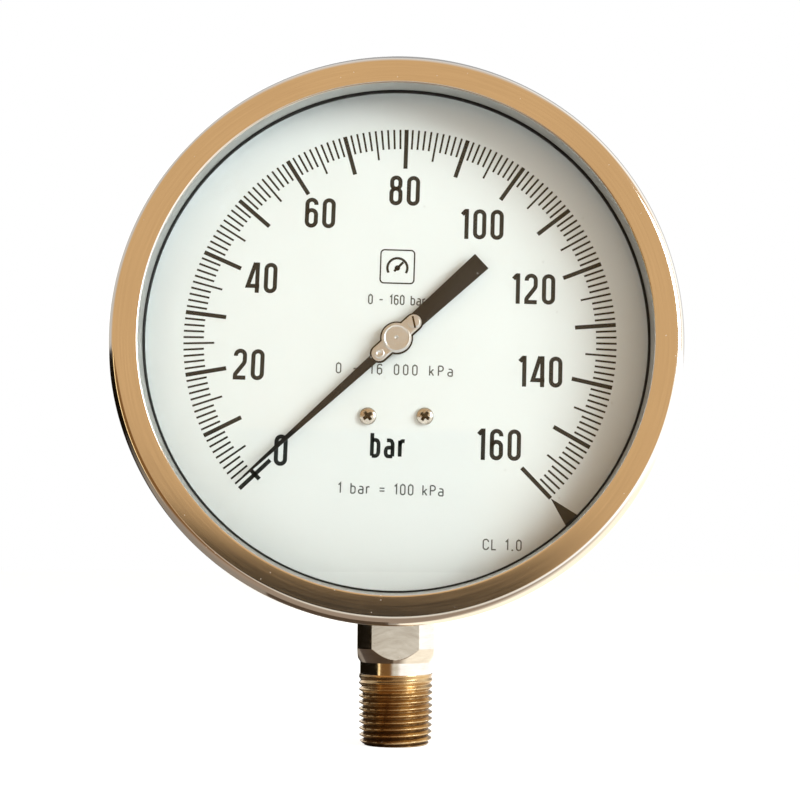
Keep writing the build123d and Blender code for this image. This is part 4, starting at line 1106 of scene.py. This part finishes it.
def add_trim_screw(turn):
    """Slotted adjusting screw at the tail's side of the hub, with painted shade on its slot's floor."""
    trim_back, trim_front = depths("trim_screw")
    seat = HEAD_BACK + 0.05
    corners = [(0, trim_back), (PIN_R, trim_back), (PIN_R, seat), (TRIM_HEAD_R, seat),
               (TRIM_HEAD_R, trim_front), (0, trim_front)]
    outline = rounded(corners, [0, 0, 0, 0, 0.2, 0])
    place = DIAL_FRAME @ turn @ Matrix.Translation((-EAR_REACH, 0, 0))
    mesh = spun("trim_screw", outline, place, even_angles(64), closed=False)
    piece = install("adjuster", mesh, "nickel", "trimmer", "trim_screw")
    slot = bmesh.new()
    size = Matrix.Diagonal((4.4, SLOT_WIDTH, 2 * SLOT_DEPTH, 1))
    bmesh.ops.create_cube(slot, size=1.0, matrix=Matrix.Translation((0, 0, trim_front)) @ size)
    carved(piece, [(slot, place @ Matrix.Rotation(radians(SLOT_TURN), 4, "Z"))])
    # painted shade: vertices on the slot's floor are marked so that the metal is coloured dark there
    floor = trim_front - SLOT_DEPTH
    sunk = piece.data.attributes.new("recess", "FLOAT", "POINT")
    for vertex, value in zip(piece.data.vertices, sunk.data):
        value.value = 1.0 if abs(-vertex.co.y / MM - floor) < 0.03 else 0.0


# ---------------------------------------------------------------- screws
def cross_screw(name, head_r, head_thick, shank_r, shank_length, turn, rings=26, columns=96):
    """A pan-head screw with a cross recess, along Z with its seat at zero; the recess gets painted shade."""
    share = np.linspace(0, 1, rings)
    radii = head_r * np.sin(share * pi / 2)
    dome = head_thick * (0.42 + 0.58 * np.sqrt(np.clip(1 - (radii / head_r) ** 2, 0, 1)))
    angle = np.linspace(0, 2 * pi, columns, endpoint=False)
    x = radii[:, None] * np.cos(angle)
    y = radii[:, None] * np.sin(angle)
    u = np.abs(x * cos(turn) + y * sin(turn))
    v = np.abs(y * cos(turn) - x * sin(turn))
    long_arm = head_r * 0.6
    arm = head_r * 0.13
    depth = np.zeros_like(x)
    for along, across in ((u, v), (v, u)):
        run = np.clip((long_arm - along) / (head_r * 0.18), 0, 1)
        side = np.clip((arm + head_r * 0.05 - across) / (head_r * 0.07), 0, 1)
        depth = np.maximum(depth, run * side * (0.75 - 0.35 * np.clip(along / long_arm, 0, 1)))
    height = dome[:, None] - depth * head_thick * 0.85
    tail = np.array([(head_r, 0.0), (shank_r, 0.0), (shank_r, -shank_length), (0.0, -shank_length)])
    tail_x = tail[:, :1] * np.cos(angle)
    tail_y = tail[:, :1] * np.sin(angle)
    tail_z = np.repeat(tail[:, 1:], columns, axis=1)
    rows = np.stack([np.vstack([x, tail_x]), np.vstack([y, tail_y]), np.vstack([height, tail_z])], axis=2)
    mesh = surface_mesh(name, rows, Matrix.Identity(4), wrap_rows=False, sharp=32)
    # painted shade: the cross recess is marked to be coloured darker the deeper it is sunk
    sunk = mesh.attributes.new("recess", "FLOAT", "POINT")
    for vertex, value in zip(mesh.vertices, sunk.data):
        round_off = sqrt(max(0.0, 1 - (hypot(vertex.co.x, vertex.co.y) / head_r) ** 2))
        below = head_thick * (0.42 + 0.58 * round_off) - vertex.co.z
        value.value = min(1.0, max(0.0, below / head_thick / 0.3)) if vertex.co.z > 0.01 else 0.0
    return mesh


def pair_tree():
    """Geometry nodes that set a fastener at both ends of a spacing, each with its own turn."""
    group, tree, given, out = new_group(
        "GeometryNodeTree", "fastener_pair",
        [("Fastener", "NodeSocketObject", None), ("Half Spacing", FLOAT, 8.0), ("Turn Step", FLOAT, 0.6),
         ("Material", "NodeSocketMaterial", None)],
        [("Geometry", "NodeSocketGeometry")])
    group.is_modifier = True
    line = tree.add("GeometryNodeMeshLine", {"mode": "END_POINTS"}, Count=2)
    tree.feed(line.inputs["Start Location"], tree.vector(tree.math("MULTIPLY", given["Half Spacing"], -1.0)))
    tree.feed(line.inputs["Offset"], tree.vector(given["Half Spacing"]))
    info = tree.add("GeometryNodeObjectInfo", Object=given["Fastener"])
    index = tree.add("GeometryNodeInputIndex").outputs[0]
    placed = tree.add("GeometryNodeInstanceOnPoints", Points=line.outputs[0],
                      Instance=info.outputs["Geometry"])
    turn = tree.math("MULTIPLY", index, given["Turn Step"])
    tree.feed(placed.inputs["Rotation"], tree.vector(0.0, 0.0, turn))
    real = tree.add("GeometryNodeRealizeInstances", Geometry=placed.outputs[0])
    shaded = tree.add("GeometryNodeSetMaterial", Geometry=real.outputs[0], Material=given["Material"])
    tree.feed(out["Geometry"], shaded.outputs[0])
    return group


def add_screws():
    """The dial's two screws and the two in the back of the case."""
    group = pair_tree()
    seat = Matrix.Translation((0, -DIAL_SCREW_DROP, DIAL_FACE))
    back_seat = Matrix.Translation((0, -CASE_SCREW_DROP, CASE_BACK)) @ Matrix.Rotation(pi, 4, "Y")
    jobs = [("dial_fixings", "dial_screws", M3_HEAD_R, M3_R, 4.0, DIAL_SCREW_X, DIAL_FRAME @ seat),
            ("case_fixings", "case_screws", M4_HEAD_R, M4_R, 9.0, CASE_SCREW_X, DIAL_FRAME @ back_seat)]
    for name, node, head_r, shank_r, shank, spacing, place in jobs:
        screw = cross_screw(name, head_r, HEAD_RISE, shank_r, shank, radians(CROSS_TURN))
        pattern = add_object("pattern", screw)
        mesh = grown(name, group, {"Fastener": pattern, "Half Spacing": spacing,
                                   "Turn Step": radians(CROSS_STEP),
                                   "Material": MATERIALS["screw_steel"]})
        bpy.data.objects.remove(pattern)
        mesh.transform(place)
        mesh.set_sharp_from_angle(angle=radians(32))
        install(name, mesh, "screw_steel", "housing", node)


# ---------------------------------------------------------------- stem
def thread_tree():
    """Geometry nodes for a taper pipe thread: a helical ridge on a bored sleeve."""
    names = [("Length", 20.0), ("Pitch", 1.8), ("End Radius", 10.0), ("Taper", 0.03),
             ("Largest Radius", 10.7), ("Depth", 1.3), ("Run Out From", 13.0), ("Chamfer", 1.2),
             ("Bore Radius", 3.0)]
    group, tree, given, out = new_group(
        "GeometryNodeTree", "pipe_thread",
        [("Rows", INTEGER, 200), ("Columns", INTEGER, 128)] + [(n, FLOAT, v) for n, v in names]
        + [("Material", "NodeSocketMaterial", None)],
        [("Geometry", "NodeSocketGeometry")])
    group.is_modifier = True
    grid = tree.add("GeometryNodeMeshGrid", Size_X=1.0, Size_Y=1.0, Vertices_X=given["Columns"],
                    Vertices_Y=given["Rows"])
    spot = tree.add("ShaderNodeSeparateXYZ", Vector=tree.add("GeometryNodeInputPosition").outputs[0]).outputs
    around = tree.math("ADD", spot[0], 0.5)
    row = tree.math("MULTIPLY", tree.math("ADD", spot[1], 0.5), tree.math("SUBTRACT", given["Rows"], 1.0))
    last = tree.math("SUBTRACT", given["Rows"], 1.0)
    share = tree.math("DIVIDE", tree.math("SUBTRACT", row, 1.0), tree.math("SUBTRACT", last, 3.0), clamp=True)
    height = tree.math("MULTIPLY", share, given["Length"])
    is_first = tree.math("LESS_THAN", row, 0.5)
    is_bored_top = tree.math("GREATER_THAN", row, tree.math("SUBTRACT", last, 1.5))
    is_last = tree.math("GREATER_THAN", row, tree.math("SUBTRACT", last, 0.5))
    phase = tree.math("FRACT", tree.math("SUBTRACT", tree.math("DIVIDE", height, given["Pitch"]), around))
    wave = tree.math("ABSOLUTE", tree.math("SUBTRACT", tree.math("MULTIPLY", phase, 2.0), 1.0))
    ridge = tree.spread(wave, 0.08, 0.88)
    crest = tree.math("MINIMUM", tree.math("ADD", given["End Radius"],
                                           tree.math("MULTIPLY", height, given["Taper"])),
                      given["Largest Radius"])
    fade = tree.spread(height, given["Run Out From"], given["Length"], 1.0, 0.12)
    cut = tree.math("MULTIPLY", tree.math("MULTIPLY", given["Depth"], fade),
                    tree.math("SUBTRACT", 1.0, ridge))
    lead = tree.math("ADD", tree.math("SUBTRACT", given["End Radius"], given["Chamfer"]), height)
    outside = tree.math("MINIMUM", tree.math("SUBTRACT", crest, cut), lead)
    bored = tree.math("MAXIMUM", is_first, is_bored_top)
    radius = tree.math("ADD", tree.math("MULTIPLY", outside, tree.math("SUBTRACT", 1.0, bored)),
                       tree.math("MULTIPLY", given["Bore Radius"], bored))
    level = tree.math("MULTIPLY", height, tree.math("SUBTRACT", 1.0, is_last))
    angle = tree.math("MULTIPLY", around, 2 * pi)
    place = tree.vector(tree.math("MULTIPLY", radius, tree.math("COSINE", angle)),
                        tree.math("MULTIPLY", radius, tree.math("SINE", angle)), level)
    bent = tree.add("GeometryNodeSetPosition", Geometry=grid.outputs[0], Position=place)
    merged = tree.add("GeometryNodeMergeByDistance", Geometry=bent.outputs[0], Distance=0.001)
    real = tree.add("GeometryNodeRealizeInstances", Geometry=merged.outputs[0])
    shaded = tree.add("GeometryNodeSetMaterial", Geometry=real.outputs[0], Material=given["Material"])
    tree.feed(out["Geometry"], shaded.outputs[0])
    return group


def add_thread():
    """The threaded end of the stem."""
    values = {"Rows": 243, "Columns": 193, "Length": THREAD_LENGTH, "Pitch": THREAD_PITCH,
              "End Radius": THREAD_END_R, "Taper": THREAD_TAPER, "Largest Radius": THREAD_MAX_R,
              "Depth": THREAD_DEPTH, "Run Out From": THREAD_FULL, "Chamfer": THREAD_CHAMFER,
              "Bore Radius": PORT_R, "Material": MATERIALS["thread_steel"]}
    mesh = grown("stem_thread", thread_tree(), values)
    tidy_mesh(mesh, STEM_FRAME, sharp=50)
    install("stem_thread", mesh, "thread_steel", "housing")


def add_stem():
    """Neck, cone and wrench flats of the stem."""
    foot = THREAD_LENGTH - 0.3
    top = BLOCK_BOTTOM + 0.5
    corners = [(0, PORT_DEPTH), (PORT_R, PORT_DEPTH), (PORT_R, foot), (NECK_R, foot), (NECK_R, NECK_TOP),
               (BAR_R, CONE_TOP), (BAR_R, FLATS_TOP - 0.01), (BAR_R, FLATS_TOP), (BAR_R, top), (0, top)]
    outline = []
    for start, finish in zip(corners, corners[1:]):
        steps = CONE_STEPS if NECK_TOP <= start[1] < CONE_TOP else 1
        outline += [Vector(start).lerp(Vector(finish), i / steps) for i in range(steps)]
    outline.append(Vector(corners[-1]))
    kink = degrees(acos(FLATS / 2 / BAR_R))
    edges = [90 * i + side * kink for i in range(4) for side in (-1, 1)]
    half = FLATS / 2

    def mill_flats(radii, heights, angles):
        turn = np.radians(angles)
        square = half / np.maximum(np.abs(np.cos(turn)), np.abs(np.sin(turn)))
        milled = (heights > NECK_TOP - 0.01) & (heights < FLATS_TOP - 0.005)
        return np.where(milled, np.minimum(radii, square), radii)

    mesh = spun("stem", outline, STEM_FRAME, even_angles(360, edges), mill_flats, closed=False, sharp=24)
    weighted(install("stem", mesh, "stem_steel", "housing", "stem_socket"))


def add_block():
    """Socket block and arm inside the case, from the CAD solid above the round bar."""
    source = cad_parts["stem_socket"].data
    work = bmesh.new()
    work.from_mesh(source)
    bmesh.ops.remove_doubles(work, verts=work.verts, dist=1e-6)
    parts = work.verts[:] + work.edges[:] + work.faces[:]
    cut = bmesh.ops.bisect_plane(work, geom=parts, plane_co=(0, 0, (BLOCK_BOTTOM + 0.01) * MM),
                                 plane_no=(0, 0, 1), clear_inner=True)
    rim = [item for item in cut["geom_cut"] if isinstance(item, bmesh.types.BMEdge)]
    bmesh.ops.holes_fill(work, edges=rim)
    mesh = bpy.data.meshes.new("socket_block")
    work.to_mesh(mesh)
    work.free()
    mesh.set_sharp_from_angle(angle=radians(28))
    install("socket_block", mesh, "stem_steel", "housing")


# ---------------------------------------------------------------- pieces inside the case
def dress_inside():
    """Finishes of the CAD nodes that keep their own meshes."""
    finishes = {
        "dial_posts": "brass", "pointer_bush": "bush_brass", "pinion_arbor": "screw_steel",
        "spring_collet": "bush_brass", "hairspring": "spring_bronze", "spring_stud": "bush_brass",
        "sector_gear": "brass", "sector_arbor": "screw_steel", "tail_pin": "screw_steel",
        "rear_plate": "brass", "front_plate": "brass", "rear_bushes": "bush_brass",
        "front_bushes": "bush_brass", "movement_pillars": "brass", "plate_screws": "screw_steel",
        "movement_screws": "screw_steel", "tube_tip": "tube_steel", "tip_pin": "screw_steel",
        "link_bar": "nickel", "restrictor_screw": "screw_steel", "stem_grommet": "seal_rubber",
    }
    for node, finish in finishes.items():
        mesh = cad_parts[node].data
        mesh.materials.clear()
        mesh.materials.append(MATERIALS[finish])


def add_bourdon_tube():
    """The curved pressure tube from the fixed socket to its moving tip, as a smoothed copy of its CAD mesh.
    """
    work = bmesh.new()
    work.from_mesh(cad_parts["bourdon_tube"].data)
    bmesh.ops.remove_doubles(work, verts=work.verts, dist=1e-6)
    mesh = bpy.data.meshes.new("pressure_tube")
    work.to_mesh(mesh)
    work.free()
    mesh.shade_smooth()
    mesh.set_sharp_from_angle(angle=radians(28))
    mesh.materials.clear()
    mesh.materials.append(MATERIALS["tube_steel"])
    piece = add_object("pressure_tube", mesh)
    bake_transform(piece)
    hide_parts("bourdon_tube")


# ---------------------------------------------------------------- stage, light and camera
def level_sheet(name, left, right, near, far, level):
    """A level four-cornered sheet, with its edges in metres."""
    mesh = bpy.data.meshes.new(name)
    corners = [(left, near, level), (right, near, level), (right, far, level), (left, far, level)]
    mesh.from_pydata(corners, [], [(0, 1, 2, 3)])
    return add_object(name, mesh)


def add_floor():
    """Plain pale floor under the stem, which the metal doesn't mirror."""
    reach = 6.0
    floor = level_sheet("floor", -reach, reach, -reach, reach, 0)
    material, _, shader = new_material("floor_pale")
    shader.inputs["Base Color"].default_value = (0.9, 0.9, 0.9, 1)
    shader.inputs["Roughness"].default_value = 0.9
    shader.inputs["Emission Color"].default_value = (1, 1, 1, 1)
    shader.inputs["Emission Strength"].default_value = 0.8
    floor.data.materials.append(material)
    floor.visible_glossy = False
    floor.visible_diffuse = False


def add_dark_card():
    """A brown card on the floor to the left of the stem, which only shows mirrored in the metal."""
    card = level_sheet("dark_card", -0.06, -0.003, -0.045, 0.02, 0.0002)
    material, _, shader = new_material("card_brown")
    shader.inputs["Base Color"].default_value = (0.17, 0.11, 0.07, 1)
    card.data.materials.append(material)
    for flag in ("visible_camera", "visible_diffuse", "visible_shadow", "visible_transmission"):
        setattr(card, flag, False)


TAN_WALL = (0.80, 0.50, 0.235, 1)
WINDOW_WHITE = (1.45, 1.42, 1.35, 1)
LEFT_GREY = (0.75, 0.72, 0.68, 1)
CEILING = (0.9, 0.88, 0.85, 1)
REAR_GREY = (0.5, 0.5, 0.51, 1)
LEDGE_CREAM = (1.0, 0.93, 0.80, 1)
LEDGE_BRIGHT = (1.7, 1.65, 1.6, 1)
LEDGE_BROWN = (0.26, 0.12, 0.035, 1)
LEDGE_GOLD = (2.2, 1.6, 0.8, 1)
LEDGE_BLACK = (0.008, 0.005, 0.002, 1)
BELOW_TAN = (0.42, 0.32, 0.24, 1)
BELOW_BRIGHT = (1.5, 1.35, 1.1, 1)
BELOW_LEFT = (0.36, 0.30, 0.24, 1)
STEP_BLACK = (0.012, 0.013, 0.012, 1)
SOFT_FILL = (0.27, 0.23, 0.165, 1)
BACKDROP = (1.0, 1.0, 1.0, 1)


def mirrored_room(tree, azimuth, elevation):
    """The room that the metal mirrors, by direction in degrees; azimuth 0 is in front of the dial.

    A tan wall stands above a narrow dark step, with a light ledge and the ground under it.
    """
    behind = tree.math("ABSOLUTE", azimuth)
    upper = tree.band(azimuth, 60.0, 95.0, TAN_WALL, WINDOW_WHITE)
    upper = tree.band(azimuth, -60.0, -85.0, upper, LEFT_GREY)
    upper = tree.band(elevation, 45.0, 80.0, upper, CEILING)
    upper = tree.band(behind, 110.0, 150.0, upper, REAR_GREY)
    ledge = tree.band(azimuth, 6.0, 16.0, LEDGE_CREAM, LEDGE_BRIGHT)
    ledge = tree.band(azimuth, -6.0, -16.0, ledge, LEDGE_BROWN)
    ledge = tree.band(azimuth, -50.0, -52.0, ledge, LEDGE_GOLD)
    ledge = tree.band(azimuth, -56.0, -59.0, ledge, LEDGE_BLACK)
    below = tree.band(azimuth, 20.0, 60.0, BELOW_TAN, BELOW_BRIGHT)
    below = tree.band(azimuth, -40.0, -70.0, below, BELOW_LEFT)
    lower = tree.band(elevation, -12.0, -25.0, ledge, below)
    dark_step = tree.band(azimuth, 1.6, 3.4, STEP_BLACK, TAN_WALL)
    dark_step = tree.band(azimuth, -6.0, -9.0, dark_step, TAN_WALL)
    dark_step = tree.band(behind, 12.0, 20.0, dark_step, lower)
    lower = tree.band(elevation, -1.6, -0.6, lower, dark_step)
    return tree.band(elevation, 4.7, 4.95, lower, upper)


def add_world():
    """White surroundings, with a warm, partly dark room for the metal to mirror."""
    world = bpy.data.worlds.new("studio")
    bpy.context.scene.world = world
    world.use_nodes = True
    world.node_tree.nodes.clear()
    tree = Tree(world.node_tree)
    direction = tree.add("ShaderNodeTexCoord").outputs["Generated"]
    parts = tree.add("ShaderNodeSeparateXYZ", Vector=direction).outputs
    to_right = tree.math("ARCTAN2", parts[0], tree.math("MULTIPLY", parts[1], -1.0))
    azimuth = tree.math("MULTIPLY", to_right, 180 / pi)
    elevation = tree.math("MULTIPLY", tree.math("ARCSINE", parts[2]), 180 / pi)
    room = mirrored_room(tree, azimuth, elevation)
    ray = tree.add("ShaderNodeLightPath").outputs
    colour = tree.mix(ray["Is Glossy Ray"], SOFT_FILL, room)
    colour = tree.mix(ray["Is Camera Ray"], colour, BACKDROP)
    background = tree.add("ShaderNodeBackground", Color=colour, Strength=1.0)
    output = tree.add("ShaderNodeOutputWorld")
    tree.feed(output.inputs["Surface"], background.outputs[0])


def add_light(name, place, target, size, power, colour):
    """A soft square light aimed at a point."""
    light = bpy.data.lights.new(name, "AREA")
    light.size = size
    light.energy = power
    light.color = colour
    lamp = bpy.data.objects.new(name, light)
    bpy.context.scene.collection.objects.link(lamp)
    lamp.location = place
    lamp.rotation_euler = (Vector(target) - Vector(place)).to_track_quat("-Z", "Y").to_euler()


def add_lights():
    """A large window-like light from the right and front, and a fill from the back."""
    target = (0, 0, DIAL_Z * MM)
    add_light("key", (0.95, -0.72, 0.42), target, 0.6, 9.8, (0.86, 0.97, 1.0))
    add_light("back_fill", (-0.5, 0.9, 0.6), target, 0.9, 2.6, (1.0, 1.0, 1.0))


def add_camera():
    """Camera a little below the dial's centre, looking slightly up."""
    data = bpy.data.cameras.new("camera")
    data.lens = 68.09
    data.sensor_width = 36.0
    data.shift_x = -0.0139
    data.shift_y = -0.108
    camera = bpy.data.objects.new("camera", data)
    bpy.context.scene.collection.objects.link(camera)
    camera.location = (0.0066, -0.450, 0.05241)
    camera.rotation_euler = (radians(99.233), radians(-0.236), radians(0.292))
    bpy.context.scene.camera = camera


# ---------------------------------------------------------------- the whole gauge
add_bezel()
add_case()
add_vent()
add_window()
add_dial()
add_scale()
add_numerals()
add_unit()
add_symbol()
add_blade()
add_hub()
add_screws()
add_thread()
add_stem()
add_block()
dress_inside()
add_bourdon_tube()
add_floor()
add_dark_card()
add_world()
add_lights()
add_camera()
bpy.context.scene.view_settings.view_transform = "Standard"
